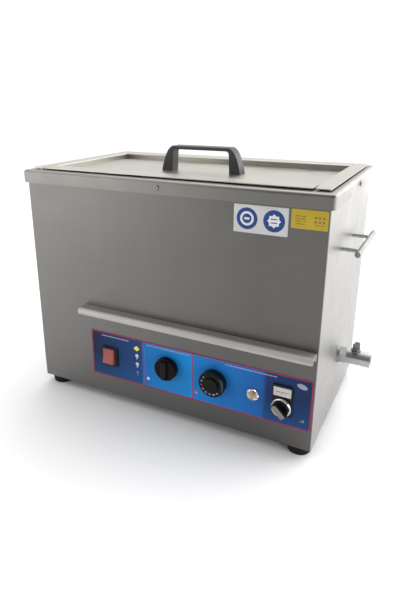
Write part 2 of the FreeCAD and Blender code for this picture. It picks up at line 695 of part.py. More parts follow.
sk = sketch(b, "XY_Plane", "lid_screw_holes", d.pan_floor)
ring(sk, -d.grip_screw, 0, 2.3)
ring(sk, d.grip_screw, 0, 2.3)
pocket(b, sk, "lid_screw_cut", d.lid_skin + 1)
soften(b, "lid_corners", 2.5, lambda q, e: near(abs(q.XMin), 235.5) and near(abs(q.YMin), 133.5) and q.XLength < 1e-4 and q.YLength < 1e-4 and q.ZLength > 1)
node(b, "lid_pan")

# Bridge handle: each leg's outer contour leans in and then turns over into the
# bar in one free curve, which a sketch pad with fillets doesn't give, so its
# outline is set here.
gl, gh, gd = val(d.grip_l) / 2, val(d.grip_h), val(d.grip_d)
bar, leg, z0 = val(d.grip_bar), val(d.grip_leg), val(d.pan_floor)
ea = 22.0
LEAN = [(0.0, 0.0), (0.9, 0.15), (3.4, 0.38), (7.6, 0.66), (11.6, 0.84), (16.2, 0.955), (ea, 1.0)]  # in from the foot, share of the height


def leg_curve(sgn):
    c = Part.BSplineCurve()
    c.interpolate(Points=[V(sgn * (gl - a), -gd / 2, z0 + gh * b_) for a, b_ in LEAN],
                  InitialTangent=V(0, 0, 1), FinalTangent=V(-sgn, 0, 0))
    return c


right, left = leg_curve(1), leg_curve(-1)
xi = gl - leg
ri = 5.0
zi = z0 + gh - bar
yf = -gd / 2
s2 = math.sqrt(0.5)
edges = [
    right.toShape(),
    Part.LineSegment(V(gl - ea, yf, z0 + gh), V(-(gl - ea), yf, z0 + gh)).toShape(),
    left.toShape(),
    Part.LineSegment(V(-gl, yf, z0), V(-xi, yf, z0)).toShape(),
    Part.LineSegment(V(-xi, yf, z0), V(-xi + 1.5, yf, zi - ri)).toShape(),
    Part.Arc(V(-xi + 1.5, yf, zi - ri), V(-xi + 1.5 + ri * (1 - s2), yf, zi - ri * (1 - s2)), V(-xi + 1.5 + ri, yf, zi)).toShape(),
    Part.LineSegment(V(-xi + 1.5 + ri, yf, zi), V(xi - 1.5 - ri, yf, zi)).toShape(),
    Part.Arc(V(xi - 1.5 - ri, yf, zi), V(xi - 1.5 - ri * (1 - s2), yf, zi - ri * (1 - s2)), V(xi - 1.5, yf, zi - ri)).toShape(),
    Part.LineSegment(V(xi - 1.5, yf, zi - ri), V(xi, yf, z0)).toShape(),
    Part.LineSegment(V(xi, yf, z0), V(gl, yf, z0)).toShape(),
]
wire = Part.Wire(Part.sortEdges(edges)[0])
grip = Part.Face(wire).extrude(V(0, gd, 0))
soft = [e for e in grip.Edges if (near(e.BoundBox.YMin, yf) and near(e.BoundBox.YMax, yf) or near(e.BoundBox.YMin, -yf) and near(e.BoundBox.YMax, -yf))
        and not (near(e.BoundBox.ZMin, z0) and near(e.BoundBox.ZMax, z0))]
try:
    grip = grip.makeFillet(1.8, soft)
except Exception:
    print("lid handle left without edge radii")
for sx in (-1, 1):
    grip = grip.cut(Part.makeCylinder(2.05, 15, V(sx * val(d.grip_screw), 0, z0 - 1), V(0, 0, 1)))
node(raw("lid_handle", grip), "lid_handle")

scr = []
under = d.pan_floor - d.lid_skin
for n_, sx in (("left", -1), ("right", 1)):
    head = rod("grip_screw_%s_head" % n_, "Z", d.grip_screw * sx, 0, under - 2.6, 3.9, 2.6)
    head = round_edges("grip_screw_%s_dome" % n_, head, 1.5, lambda q, e: q.ZLength < 1e-4 and near(q.ZMin, 354.7))
    shank = rod("grip_screw_%s_shank" % n_, "Z", d.grip_screw * sx, 0, under - 0.1, 2.0, 13.0)
    slot = box("grip_screw_%s_slot" % n_, d.grip_screw * sx - 2.4, -0.45, under - 3, 4.8, 0.9, 1.5)
    scr.append(cut("grip_screw_%s" % n_, fuse("grip_screw_%s_blank" % n_, [head, shank]), [slot]))
node(group("lid_handle_screws", scr), "lid_handle_screws")

# ---------------------------------------------------------------------------
# Side handles
# ---------------------------------------------------------------------------
for side, sx in (("right", 1), ("left", -1)):
    bar_o = rod("bar_%s_rod" % side, "Y", d.bar_x * sx, d.bar_front, d.bar_z, d.bar_r, d.bar_l)
    bar_o = round_edges("bar_%s_ends" % side, bar_o, 1.0, lambda q, e: q.YLength < 1e-4 and e.Closed)
    seats = []
    for end, y in (("front", d.post_front), ("back", d.post_back)):
        if sx > 0:
            seats.append(rod("bar_%s_seat_%s" % (side, end), "X", d.bar_x - 12, y, d.bar_z, d.post_r + 0.02, 10))
        else:
            seats.append(rod("bar_%s_seat_%s" % (side, end), "X", -d.bar_x + 2, y, d.bar_z, d.post_r + 0.02, 10))
    node(cut("handle_bar_%s" % side, bar_o, seats), "handle_bar_%s" % side)
posts, scr = [], []
for side, sx in (("right", 1), ("left", -1)):
    for end, y in (("front", d.post_front), ("back", d.post_back)):
        tag = "%s_%s" % (side, end)
        if sx > 0:
            p = rod("post_%s_rod" % tag, "X", hw, y, d.bar_z, d.post_r, d.bar_x - 2 - hw)
            q_ = rod("post_%s_tap" % tag, "X", hw - 1, y, d.bar_z, 2.05, 12)
            head = rod("post_screw_%s_head" % tag, "X", hw - d.skin - 3, y, d.bar_z, 3.7, 3)
            shank = rod("post_screw_%s_shank" % tag, "X", hw - d.skin - 0.1, y, d.bar_z, 2.0, 11)
            sock = rod("post_screw_%s_socket" % tag, "X", hw - d.skin - 4, y, d.bar_z, 1.3, 2.5)
        else:
            p = rod("post_%s_rod" % tag, "-X", -hw, y, d.bar_z, d.post_r, d.bar_x - 2 - hw)
            q_ = rod("post_%s_tap" % tag, "-X", -hw + 1, y, d.bar_z, 2.05, 12)
            head = rod("post_screw_%s_head" % tag, "-X", -hw + d.skin + 3, y, d.bar_z, 3.7, 3)
            shank = rod("post_screw_%s_shank" % tag, "-X", -hw + d.skin + 0.1, y, d.bar_z, 2.0, 11)
            sock = rod("post_screw_%s_socket" % tag, "-X", -hw + d.skin + 4, y, d.bar_z, 1.3, 2.5)
        posts.append(cut("post_%s" % tag, p, [q_]))
        scr.append(cut("post_screw_%s" % tag, fuse("post_screw_%s_blank" % tag, [head, shank]), [sock]))
node(group("handle_posts", posts), "handle_posts")
node(group("handle_screws", scr), "handle_screws")

# ---------------------------------------------------------------------------
# Power switch: housing snapped into the front, rocker on two stub pivots
# ---------------------------------------------------------------------------
px, pz = d.power_x, d.power_z
bez = span("power_bezel", px - 15.2, px + 15.2, film - 2.8, film, pz - 16.8, pz + 16.8)
bez = round_edges("power_bezel_corners", bez, 2.0, lambda q, e: q.YLength > 1 and q.XLength < 1e-4 and q.ZLength < 1e-4)
bez = round_edges("power_bezel_edge", bez, 1.0, lambda q, e: near(q.YMax, -147.3))
core = span("power_core", px - 13.8, px + 13.8, film - 1, film + 27, pz - 15.6, pz + 15.6)
blades = [span("power_blade_%d" % k, px + x0 - 0.4, px + x0 + 0.4, film + 26, film + 35, pz + z0_ - 3.1, pz + z0_ + 3.1)
          for k, (x0, z0_) in enumerate(((-7, 7), (7, 7), (-7, -7), (7, -7)))]
pivot_y = film + 6.5
node(cut("power_switch_housing", fuse("power_blank", [bez, core] + blades), [
    span("power_well", px - 10.6, px + 10.6, film - 4, film + 17, pz - 14.8, pz + 14.8),
    rod("power_pivot_bore", "X", px - 12.8, pivot_y, pz, 1.56, 25.6)]), "power_switch_housing")

b = body("power_rocker", px, pivot_y, pz, App.Rotation(V(1, 0, 0), -8))
sk = sketch(b, "YZ_Plane", "rocker_profile", -10.2)
poly(sk, [(-14.6, 12.6), (-13.2, 0), (-14.6, -12.6), (-9.0, -13.0), (-3, -13.0), (3.5, -6), (3.5, 6), (-3, 13.0), (-9.0, 13.0)])
pad(b, sk, "rocker_block", 20.4)
soften(b, "rocker_edges", 1.0, lambda q, e: q.YMax < -8.0 and not (q.XLength > 5 and near(q.ZMin, 0.0)) and not (q.XLength > 5 and near(abs(q.ZMin), 13.0)))
sk = sketch(b, "YZ_Plane", "rocker_stubs", -12.4)
ring(sk, 0, 0, 1.5)
pad(b, sk, "rocker_pivot", 24.8)
node(b, "power_rocker")

# ---------------------------------------------------------------------------
# Timer and thermostat
# ---------------------------------------------------------------------------
def spindle_unit(tag, cx, cz, wide, tall, deep):
    blk = span(tag + "_case", cx - wide / 2, cx + wide / 2, front + d.skin, front + d.skin + deep, cz - tall / 2, cz + tall / 2)
    blk = round_edges(tag + "_case_edges", blk, 2.0, lambda q, e: q.YLength > 5 and q.XLength < 1e-4 and q.ZLength < 1e-4)
    bush = rod(tag + "_bush", "Y", cx, film - 0.9, cz, 5.0, 4)
    tabs = [span("%s_blade_%d" % (tag, k), cx + x0 - 0.4, cx + x0 + 0.4, front + d.skin + deep - 1, front + d.skin + deep + 8, cz - 9.1, cz - 2.9)
            for k, x0 in enumerate((-9, 0, 9))]
    return cut(tag + "_body", fuse(tag + "_blank", [blk, bush] + tabs), [
        rod(tag + "_bore", "Y", cx, film - 3, cz, 3.06, 22),
        rod(tag + "_tap_a", "Y", cx - 14, front, cz, 1.55, 9),
        rod(tag + "_tap_b", "Y", cx + 14, front, cz, 1.55, 9)])


node(spindle_unit("timer", d.timer_x, d.timer_z, 46.0, 42.0, 30.0), "timer_body")
node(spindle_unit("thermostat", d.stat_x, d.stat_z, 42.0, 36.0, 26.0), "thermostat_body")

FRONTWARD = App.Rotation(V(1, 0, 0), 90)  # local +Z points to the front, local +Y up

# Timer knob: thick disc with a low grip bar across its face.
b = body("timer_knob", d.timer_x, film - d.knob_gap, d.timer_z, FRONTWARD)
sk = sketch(b, "XZ_Plane", "timer_knob_profile")
poly(sk, [(0, 0), (d.timer_r, 0), (d.timer_r, 8.5), (d.timer_r - 1.4, 10.0), (0, 10.4)])
revolve(b, sk, "timer_disc")
sk = sketch(b, "XY_Plane", "timer_grip", 6.0)
poly(sk, [(-4.2, -15.2), (4.2, -15.2), (5.2, -7), (5.2, 7), (4.2, 15.2), (-4.2, 15.2), (-5.2, 7), (-5.2, -7)])
pad(b, sk, "timer_grip_bar", 8.0)
soften(b, "timer_grip_round", 1.4, lambda q, e: near(q.ZMin, 14.0) and near(q.ZMax, 14.0))
soften(b, "timer_disc_round", 0.8, lambda q, e: e.Closed and near(q.ZMin, 10.0) and near(q.ZMax, 10.0))
sk = sketch(b, "XY_Plane", "timer_bore")
ring(sk, 0, 0, 3.03)
pocket(b, sk, "timer_bore_cut", 12.6, back=True)
node(b, "timer_knob")
node(rod("timer_shaft", "Y", d.timer_x, film - d.knob_gap - 12, d.timer_z, 3.0, 28), "timer_shaft")

# Thermostat knob: printed dial face with a low fluted boss in the middle.
b = body("thermostat_knob", d.stat_x, film - d.knob_gap, d.stat_z, FRONTWARD)
sk = sketch(b, "XZ_Plane", "stat_knob_profile")
poly(sk, [(0, 0), (d.stat_r, 0), (d.stat_r, 9.0), (d.stat_r - 1.2, 10.5), (12.0, 10.5), (11.4, 14.0), (0, 14.3)])
revolve(b, sk, "stat_disc")
soften(b, "stat_round", 1.2, lambda q, e: e.Closed and (near(q.ZMin, 14.0) and near(q.ZMax, 14.0)))
sk = sketch(b, "XY_Plane", "stat_flute", 11.0)
ring(sk, 0, 12.9, 2.4)
flute = pocket(b, sk, "stat_flute_cut", 10.0, back=True)
pat = b.newObject("PartDesign::PolarPattern", "stat_flutes")
pat.Originals = [flute]
pat.Axis = (sk, ["N_Axis"])
pat.Angle = 360
pat.Occurrences = 12
b.Tip = pat
doc.recompute()
sk = sketch(b, "XY_Plane", "stat_bore")
ring(sk, 0, 0, 3.03)
pocket(b, sk, "stat_bore_cut", 12.6, back=True)
node(b, "thermostat_knob")
node(rod("thermostat_shaft", "Y", d.stat_x, film - d.knob_gap - 12, d.stat_z, 3.0, 28), "thermostat_shaft")

scr = []
for tag, cx, cz in (("timer", d.timer_x, d.timer_z), ("stat", d.stat_x, d.stat_z)):
    for k, off in (("a", -14), ("b", 14)):
        head = rod("%s_screw_%s_head" % (tag, k), "Y", cx + off, front - 2.0, cz, 3.2, 2.0)
        shank = rod("%s_screw_%s_shank" % (tag, k), "Y", cx + off, front - 0.1, cz, 1.5, 7.5)
        slot = box("%s_screw_%s_slot" % (tag, k), cx + off - 2, front - 2.4, cz - 0.4, 4, 1.2, 0.8)
        scr.append(cut("%s_screw_%s" % (tag, k), fuse("%s_screw_%s_blank" % (tag, k), [head, shank]), [slot]))
node(group("control_screws", scr), "control_screws")

# ---------------------------------------------------------------------------
# Pilot lamp
# ---------------------------------------------------------------------------
b = body("lamp_bezel", d.lamp_x, film, d.lamp_z, FRONTWARD)
sk = sketch(b, "XZ_Plane", "lamp_profile")
poly(sk, [(5.9, 3.0), (6.9, 3.4), (9.3, 1.6), (9.3, 0), (7.0, 0), (7.0, -26), (0, -26), (0, -6), (5.9, -6)])
revolve(b, sk, "lamp_turned")
sk = sketch(b, "XY_Plane", "lamp_blades", -25.0)
rect(sk, -3.5, -2.7, -3, 3)
rect(sk, 2.7, 3.5, -3, 3)
pad(b, sk, "lamp_blade_pads", 9.0, back=True)
node(b, "lamp_bezel")
b = body("lamp_lens", d.lamp_x, film, d.lamp_z, FRONTWARD)
sk = sketch(b, "XZ_Plane", "lens_profile")
poly(sk, [(0, -5.9), (5.8, -5.9), (5.8, 3.4), (4.6, 4.9), (2.4, 5.7), (0, 6.0)])
revolve(b, sk, "lens_turned")
soften(b, "lens_round", 0.6, lambda q, e: e.Closed and (near(q.ZMin, 3.4) or near(q.ZMin, 4.9)) and q.ZLength < 1e-4)
node(b, "lamp_lens")

# ---------------------------------------------------------------------------
# Selector: 22 mm series, with a legend holder above it
# ---------------------------------------------------------------------------
b = body("legend_holder", d.pick_x, film, d.pick_z, FRONTWARD)
sk = sketch(b, "XY_Plane", "holder_outline")
rect(sk, -14.6, 14.6, -14.6, 33.4)
pad(b, sk, "holder_plate", 1.6)
sk = sketch(b, "XY_Plane", "holder_frame")
rect(sk, -14.6, 14.6, 15.6, 33.4)
pad(b, sk, "holder_block", 3.0)
soften(b, "holder_corners", 1.6, lambda q, e: near(abs(q.XMin), 14.6) and q.XLength < 1e-4 and q.YLength < 1e-4)
sk = sketch(b, "XY_Plane", "holder_window", 3.0)
rect(sk, -12.9, 12.9, 16.3, 30.4)
pocket(b, sk, "holder_recess", 1.4)
sk = sketch(b, "XY_Plane", "holder_hole", 1.6)
ring(sk, 0, 0, 11.25)
pocket(b, sk, "holder_hole_cut", 3.0)
node(b, "legend_holder")
node(span("legend_insert", d.pick_x - 12.7, d.pick_x + 12.7, film - 2.8, film - 1.6, d.pick_z + 16.5, d.pick_z + 30.2), "legend_insert")

b = body("selector_bezel", d.pick_x, film - 1.6, d.pick_z, FRONTWARD)
sk = sketch(b, "XZ_Plane", "bezel_profile")
poly(sk, [(12.2, 6.2), (13.4, 6.2), (14.6, 4.8), (14.6, 0), (11.0, 0), (11.0, -14), (9.0, -14), (9.0, 1.0), (12.2, 1.0)])
revolve(b, sk, "bezel_turned")
soften(b, "bezel_round", 0.6, lambda q, e: e.Closed and near(q.ZMin, 4.8) and q.ZLength < 1e-4)
node(b, "selector_bezel")

b = body("selector_handle", d.pick_x, film - 1.6, d.pick_z, App.Rotation(V(0, 1, 0), -45).multiply(FRONTWARD))
sk = sketch(b, "XZ_Plane", "pick_profile")
poly(sk, [(0, -16), (5.0, -16), (5.0, 1.3), (11.9, 1.3), (11.9, 6.6), (10.6, 8.0), (0, 8.0)])
revolve(b, sk, "pick_turned")
sk = sketch(b, "XY_Plane", "pick_bar", 6.6)
poly(sk, [(-4.6, -11.4), (4.6, -11.4), (4.6, 9.0), (2.6, 12.4), (-2.6, 12.4), (-4.6, 9.0)])
pad(b, sk, "pick_bar_pad", 10.8)
soften(b, "pick_bar_round", 1.2, lambda q, e: near(q.ZMin, 17.4) and near(q.ZMax, 17.4))
node(b, "selector_handle")

node(cut("selector_collar", rod("collar_ring", "Y", d.pick_x, front + d.skin, d.pick_z, 15.0, 7.5),
         [rod("collar_bore", "Y", d.pick_x, front, d.pick_z, 11.05, 12)]), "selector_collar")
blk = span("contact_block", d.pick_x - 15, d.pick_x + 15, front + 11.9, front + 48, d.pick_z - 19, d.pick_z + 19)
blk = round_edges("contact_block_edges", blk, 1.5, lambda q, e: q.YLength > 5 and q.XLength < 1e-4 and q.ZLength < 1e-4)
node(cut("selector_contacts", blk, [
    rod("contact_bore", "Y", d.pick_x, front + 10, d.pick_z, 5.2, 10),
    rod("contact_screw_a", "Z", d.pick_x - 8, front + 38, d.pick_z + 12, 2.5, 10),
    rod("contact_screw_b", "Z", d.pick_x + 8, front + 38, d.pick_z + 12, 2.5, 10),
    rod("contact_screw_c", "Z", d.pick_x - 8, front + 38, d.pick_z - 22, 2.5, 10),
    rod("contact_screw_d", "Z", d.pick_x + 8, front + 38, d.pick_z - 22, 2.5, 10)]), "selector_contacts")

# ---------------------------------------------------------------------------
# Drain: boss under the tank, elbow, wall nipple, ring nuts and ball valve
# ---------------------------------------------------------------------------
tank_under = d.tank_floor - d.tank_skin
dx, dy, dz = d.drain_x, d.drain_y, d.drain_z
node(cut("drain_boss", rod("boss_outer", "Z", dx, dy, tank_under - 16, 13.0, 16),
         [rod("boss_bore", "Z", dx, dy, tank_under - 18, 8.6, 20)]), "drain_boss")
turn_r = 18.0
low = tank_under - 16
el = doc.addObject("Part::Torus", "elbow_turn")
el.Radius1, el.Radius2, el.Angle3 = turn_r, 11.5, 90
put(el, dx + turn_r, dy, dz + turn_r, App.Rotation(V(-1, 0, 0), V(0, 0, -1), V(0, -1, 0), "ZXY"))
el_in = doc.addObject("Part::Torus", "elbow_turn_bore")
el_in.Radius1, el_in.Radius2, el_in.Angle3 = turn_r, 8.0, 90
put(el_in, dx + turn_r, dy, dz + turn_r, App.Rotation(V(-1, 0, 0), V(0, 0, -1), V(0, -1, 0), "ZXY"))
node(cut("drain_elbow", fuse("elbow_blank", [
    el, rod("elbow_up", "Z", dx, dy, dz + turn_r, 11.5, low - dz - turn_r),
    rod("elbow_up_socket", "Z", dx, dy, low - 9, 13.5, 9),
    rod("elbow_out", "X", dx + turn_r, dy, dz, 11.5, 8),
    rod("elbow_out_socket", "X", dx + turn_r + 6, dy, dz, 13.5, 12)]), [
    el_in, rod("elbow_up_bore", "Z", dx, dy, dz + turn_r - 0.01, 8.0, low - dz - turn_r + 2),
    rod("elbow_out_bore", "X", dx + turn_r - 0.01, dy, dz, 8.0, 22),
    rod("elbow_socket_bore", "X", dx + turn_r + 7, dy, dz, 10.52, 14)]), "drain_elbow")
nip0 = dx + turn_r + 7
node(cut("drain_nipple", rod("nipple_tube", "X", nip0, dy, dz, 10.5, d.valve_x + 9 - nip0),
         [rod("nipple_bore", "X", nip0 - 1, dy, dz, 8.0, d.valve_x + 12 - nip0)]), "drain_nipple")
ring_nuts = []
for tag, x0 in (("outer", hw), ("inner", hw - d.skin - 3.2)):
    ring_nuts.append(cut("locknut_" + tag, rod("locknut_%s_ring" % tag, "X", x0, dy, dz, 13.4, 3.2),
                         [rod("locknut_%s_bore" % tag, "X", x0 - 1, dy, dz, 10.55, 6)]))
node(group("drain_locknuts", ring_nuts), "drain_locknuts")

vx, ve, vm = d.valve_x, d.valve_end, d.valve_mid
blank = fuse("valve_blank", [
    rod("valve_barrel", "X", vx, dy, dz, 11.6, ve - vx),
    hexa("valve_hex_in", "X", vx, dy, dz, 24.0, 10.0),
    rod("valve_end_ring", "X", ve - 12.5, dy, dz, 12.2, 12.5),
    rod("valve_neck", "Z", vm, dy, dz, 6.0, 14.4)])
node(cut("valve_body", blank, [
    rod("valve_socket", "X", vx - 1, dy, dz, 10.52, 10.0),
    rod("valve_way_in", "X", vx, dy, dz, 6.0, 14),
    rod("valve_chamber", "X", vm - 10.2, dy, dz, 9.7, 20.4),
    rod("valve_way_out", "X", vm + 9, dy, dz, 6.0, 8),
    rod("valve_outlet", "X", ve - d.outlet_deep, dy, dz, d.outlet_r, d.outlet_deep + 2),
    rod("valve_stem_bore", "Z", vm, dy, dz + 5, 2.56, 12)]), "valve_body")
seats = []
for tag, x0, x1 in (("in", vm - 10.1, vm - 6.0), ("out", vm + 6.0, vm + 10.1)):
    seats.append(cut("seat_" + tag, rod("seat_%s_ring" % tag, "X", x0, dy, dz, 9.6, x1 - x0),
                     [rod("seat_%s_bore" % tag, "X", x0 - 1, dy, dz, 5.4, 7), ball("seat_%s_cup" % tag, vm, dy, dz, d.ball_r + 0.05)]))
node(group("valve_seats", seats), "valve_seats")
node(cut("valve_ball", ball("ball_blank", vm, dy, dz, d.ball_r), [
    rod("ball_way", "Y", vm, dy - 12, dz, 5.0, 24),
    span("ball_slot", vm - 4, vm + 4, dy - 1.1, dy + 1.1, dz + 6.8, dz + 10)]), "valve_ball")
node(fuse("valve_stem", [
    span("stem_tang", vm - 2.2, vm + 2.2, dy - 1.0, dy + 1.0, dz + 7.0, dz + 9.8),
    rod("stem_rod", "Z", vm, dy, dz + 9.6, 2.5, 9.4)]), "valve_stem")
b = body("valve_lever", vm, dy, dz + 14.7)
sk = sketch(b, "YZ_Plane", "lever_side", -4.0)
poly(sk, [(-15, 0.3), (-6.6, 0.0), (6.6, 0.0), (15, 2.0), (15, 5.0), (9, 6.4), (-9, 6.4), (-15, 4.0)])
pad(b, sk, "lever_wing", 8.0)
soften(b, "lever_round", 1.3, lambda q, e: q.XLength < 1e-4 and q.ZMin > 1.9 and (near(abs(q.XMin), 4.0)))
sk = sketch(b, "XY_Plane", "lever_hub")
ring(sk, 0, 0, 5.4)
pad(b, sk, "lever_hub_pad", 6.4)
sk = sketch(b, "XY_Plane", "lever_bore")
ring(sk, 0, 0, 2.53)
pocket(b, sk, "lever_bore_cut", 4.4, back=True)
node(b, "valve_lever")

# ---------------------------------------------------------------------------
# Heating, insulation and sensors
# ---------------------------------------------------------------------------
node(span("heater_mat_floor", -196.0, 128.0, -76.0, 76.0, tank_under - 1.5, tank_under), "heater_mat_floor")
mats = [span("mat_front", -170.0, 170.0, -tw - 1.5, -tw, 166.0, 236.0), span("mat_rear", -170.0, 170.0, tw, tw + 1.5, 166.0, 236.0)]
node(group("heater_mats_side", mats), "heater_mats_side")
j_out = span("jacket_block", -tl - 15, tl + 15, -tw - 24, tw + 24, 156.5, 338.0)
j_out = round_edges("jacket_corners", j_out, 14.0, upright)
j_in = span("jacket_void", -tl - 1, tl + 1, -tw - 1.8, tw + 1.8, 150.0, 345.0)
j_in = round_edges("jacket_void_corners", j_in, 10.0, upright)
node(cut("insulation_jacket", j_out, [j_in]), "insulation_jacket")

by, bz = 92.0, tank_under - 3.2
node(rod("thermostat_bulb", "X", -110.0, by, bz, 3.0, 90.0), "thermostat_bulb")
clips = []
for k, x0 in (("a", -98.0), ("b", -44.0)):
    clips.append(cut("clip_" + k, span("clip_%s_block" % k, x0, x0 + 10, by - 8, by + 8, tank_under - 7.4, tank_under),
                     [rod("clip_%s_bore" % k, "X", x0 - 1, by, bz, 3.04, 12)]))
node(group("bulb_clips", clips), "bulb_clips")
bzv = val(bz)
cap, n_cap = tube([(-20, 92, bzv), (22, 92, bzv), (58, 60, 138), (76, 20, 126), (84, -36, 104), (84, -78, 86), (84, -116.8, 86)], 0.9, 40)
node(raw("thermostat_capillary", cap), "thermostat_capillary")
print("capillary path %.1f mm" % n_cap)
co = fuse("cutout_blank", [
    rod("cutout_can", "Z", 100.0, -92.0, tank_under - 11, 8.2, 9.8),
    rod("cutout_cap", "Z", 100.0, -92.0, tank_under - 1.3, 9.5, 1.3),
    span("cutout_tab_a", 93.0, 94.0, -95.0, -89.0, tank_under - 19, tank_under - 10),
    span("cutout_tab_b", 106.0, 107.0, -95.0, -89.0, tank_under - 19, tank_under - 10)])
node(co, "overheat_cutout")

# ---------------------------------------------------------------------------
# Wiring, terminal block and earth stud
# ---------------------------------------------------------------------------
tb = span("terminal_base", -95.0, -35.0, 60.0, 82.0, plate_top, plate_top + 17)
tb = round_edges("terminal_edges", tb, 1.5, upright)
node(cut("terminal_block", tb, [rod("terminal_screw_%d" % k, "Z", -88.5 + 11.75 * k, 71.0, plate_top + 8, 3.0, 12) for k in range(5)]), "terminal_block")
node(fuse("earth_stud", [
    rod("earth_rod", "Z", -125.0, 96.0, plate_top, 2.5, 18),
    hexa("earth_nut", "Z", -125.0, 96.0, plate_top, 8.0, 4.2),
    hexa("earth_nut_top", "Z", -125.0, 96.0, plate_top + 7, 8.0, 4.2),
    rod("earth_washer", "Z", -125.0, 96.0, plate_top + 4.2, 5.5, 1.2)]), "earth_stud")
looms = []
for pts, r, bend_r in (
        ([(-165, 113, 50), (-165, 96, 46), (-152, 82, 26), (-128, 71, 12), (-95, 71, 12)], 3.0, 30),
        ([(-80, 60, 13), (-80, 38, 13), (-100, 8, 18), (-108, -40, 24), (-104, -84, 44), (-97.5, -107, 58)], 3.0, 40),
        ([(-35, 68, 13), (-10, 68, 13), (7, 26, 24), (10.5, -30, 34), (12.5, -70, 50), (12.5, -102, 63)], 2.6, 40)):
    s_, n_ = tube(pts, r, bend_r)
    print("loom path %.1f mm" % n_)
    looms.append(s_)
node(raw("wiring_loom", Part.makeCompound(looms)), "wiring_loom")

# ---------------------------------------------------------------------------
# Mains inlet at the rear, with a fuse drawer over the socket
# ---------------------------------------------------------------------------
ix, iz = d.inlet_x, d.inlet_z
fl = span("inlet_flange", ix - 16, ix + 16, hd, hd + 2.6, iz - 28, iz + 28)
fl = round_edges("inlet_flange_corners", fl, 3.0, lambda q, e: q.YLength > 1 and q.XLength < 1e-4 and q.ZLength < 1e-4)
fl = round_edges("inlet_flange_edge", fl, 0.8, lambda q, e: near(q.YMin, 146.6))
core = span("inlet_core", ix - 13.8, ix + 13.8, hd - 28, hd + 1, iz - 24.8, iz + 24.8)
node(cut("mains_inlet", fuse("inlet_blank", [fl, core]), [
    span("inlet_socket", ix - 12.1, ix + 12.1, hd - 16, hd + 4, iz - 21, iz - 4.4),
    span("inlet_drawer_slot", ix - 12.1, ix + 12.1, hd - 24, hd + 4, iz + 4.0, iz + 20.0)]), "mains_inlet")
pins = []
for k, (x0, z0_) in enumerate(((-7.0, -15.2), (7.0, -15.2), (0.0, -9.2))):
    o = span("inlet_pin_%d" % k, ix + x0 - 1.0, ix + x0 + 1.0, hd - 16, hd - 1.5, iz + z0_ - 2.0, iz + z0_ + 2.0)
    pins.append(round_edges("inlet_pin_%d_tip" % k, o, 0.6, lambda q, e: near(q.YMin, 142.5)))
node(group("inlet_pins", pins), "inlet_pins")
dr = span("drawer_block", ix - 11.9, ix + 11.9, hd - 22, hd + 2.2, iz + 4.2, iz + 19.8)
dr = round_edges("drawer_face", dr, 0.7, lambda q, e: near(q.YMin, 146.2))
node(cut("fuse_drawer", dr, [
    rod("drawer_fuse_a", "X", ix - 10.2, hd - 6, iz + 12, 2.7, 20.4),
    rod("drawer_fuse_b", "X", ix - 10.2, hd - 15, iz + 12, 2.7, 20.4),
    span("drawer_open", ix - 10.2, ix + 10.2, hd - 17.7, hd - 3.3, iz + 12, iz + 22),
    span("drawer_nail", ix - 4, ix + 4, hd + 1.0, hd + 3, iz + 15.6, iz + 17.4)]), "fuse_drawer")
node(group("fuses", [rod("fuse_a", "X", ix - 10.0, hd - 6, iz + 12, 2.5, 20.0), rod("fuse_b", "X", ix - 10.0, hd - 15, iz + 12, 2.5, 20.0)]), "fuses")

scr = []
for i, (sx, z) in enumerate(((-1, 30.0), (-1, 180.0), (-1, 330.0), (1, 30.0), (1, 180.0), (1, 330.0))):
    x = (hw - 8) * sx
    head = rod("panel_screw_%d_head" % i, "Y", x, hd, z, 3.3, 1.9)
    head = round_edges("panel_screw_%d_dome" % i, head, 1.2, lambda q, e: e.Closed and near(q.YMin, 145.9))
    shank = rod("panel_screw_%d_shank" % i, "-Y", x, hd + 0.1, z, 1.6, 8)
    slot = box("panel_screw_%d_slot" % i, x - 2, hd + 1.1, z - 0.4, 4, 1.4, 0.8)
    slot2 = box("panel_screw_%d_slot2" % i, x - 0.4, hd + 1.1, z - 2, 0.8, 1.4, 4)
    scr.append(cut("panel_screw_%d" % i, fuse("panel_screw_%d_blank" % i, [head, shank]), [slot, slot2]))
node(group("rear_panel_screws", scr), "rear_panel_screws")

# ---------------------------------------------------------------------------
# Check and write
# ---------------------------------------------------------------------------
doc.recompute()
bad = []
for o in doc.Objects:
    if any(w in o.State for w in ("Invalid", "Error")):
        bad.append("%s state %s" % (o.Name, o.State))
for o in NODES:
    if o.Shape.isNull() or not o.Shape.isValid() or not o.Shape.Solids:
        bad.append("%s has no valid solid" % o.Label)
if bad:
    raise RuntimeError("; ".join(bad))
if len(NODES) > 60 or len({o.Label for o in NODES}) != len(NODES):
    raise RuntimeError("%d sub-parts; limit 60, names must differ" % len(NODES))

os.makedirs("parts", exist_ok=True)
box_all = None
for o in NODES:
    o.Shape.exportStep(os.path.join("parts", o.Label + ".step"))
    bb = o.Shape.BoundBox
    box_all = bb if box_all is None else box_all.united(bb)
print("sub-parts: %d" % len(NODES))
print("box x %.2f..%.2f  y %.2f..%.2f  z %.2f..%.2f" % (box_all.XMin, box_all.XMax, box_all.YMin, box_all.YMax, box_all.ZMin, box_all.ZMax))
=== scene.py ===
import math

import bmesh
import bpy
from mathutils import Matrix, Vector


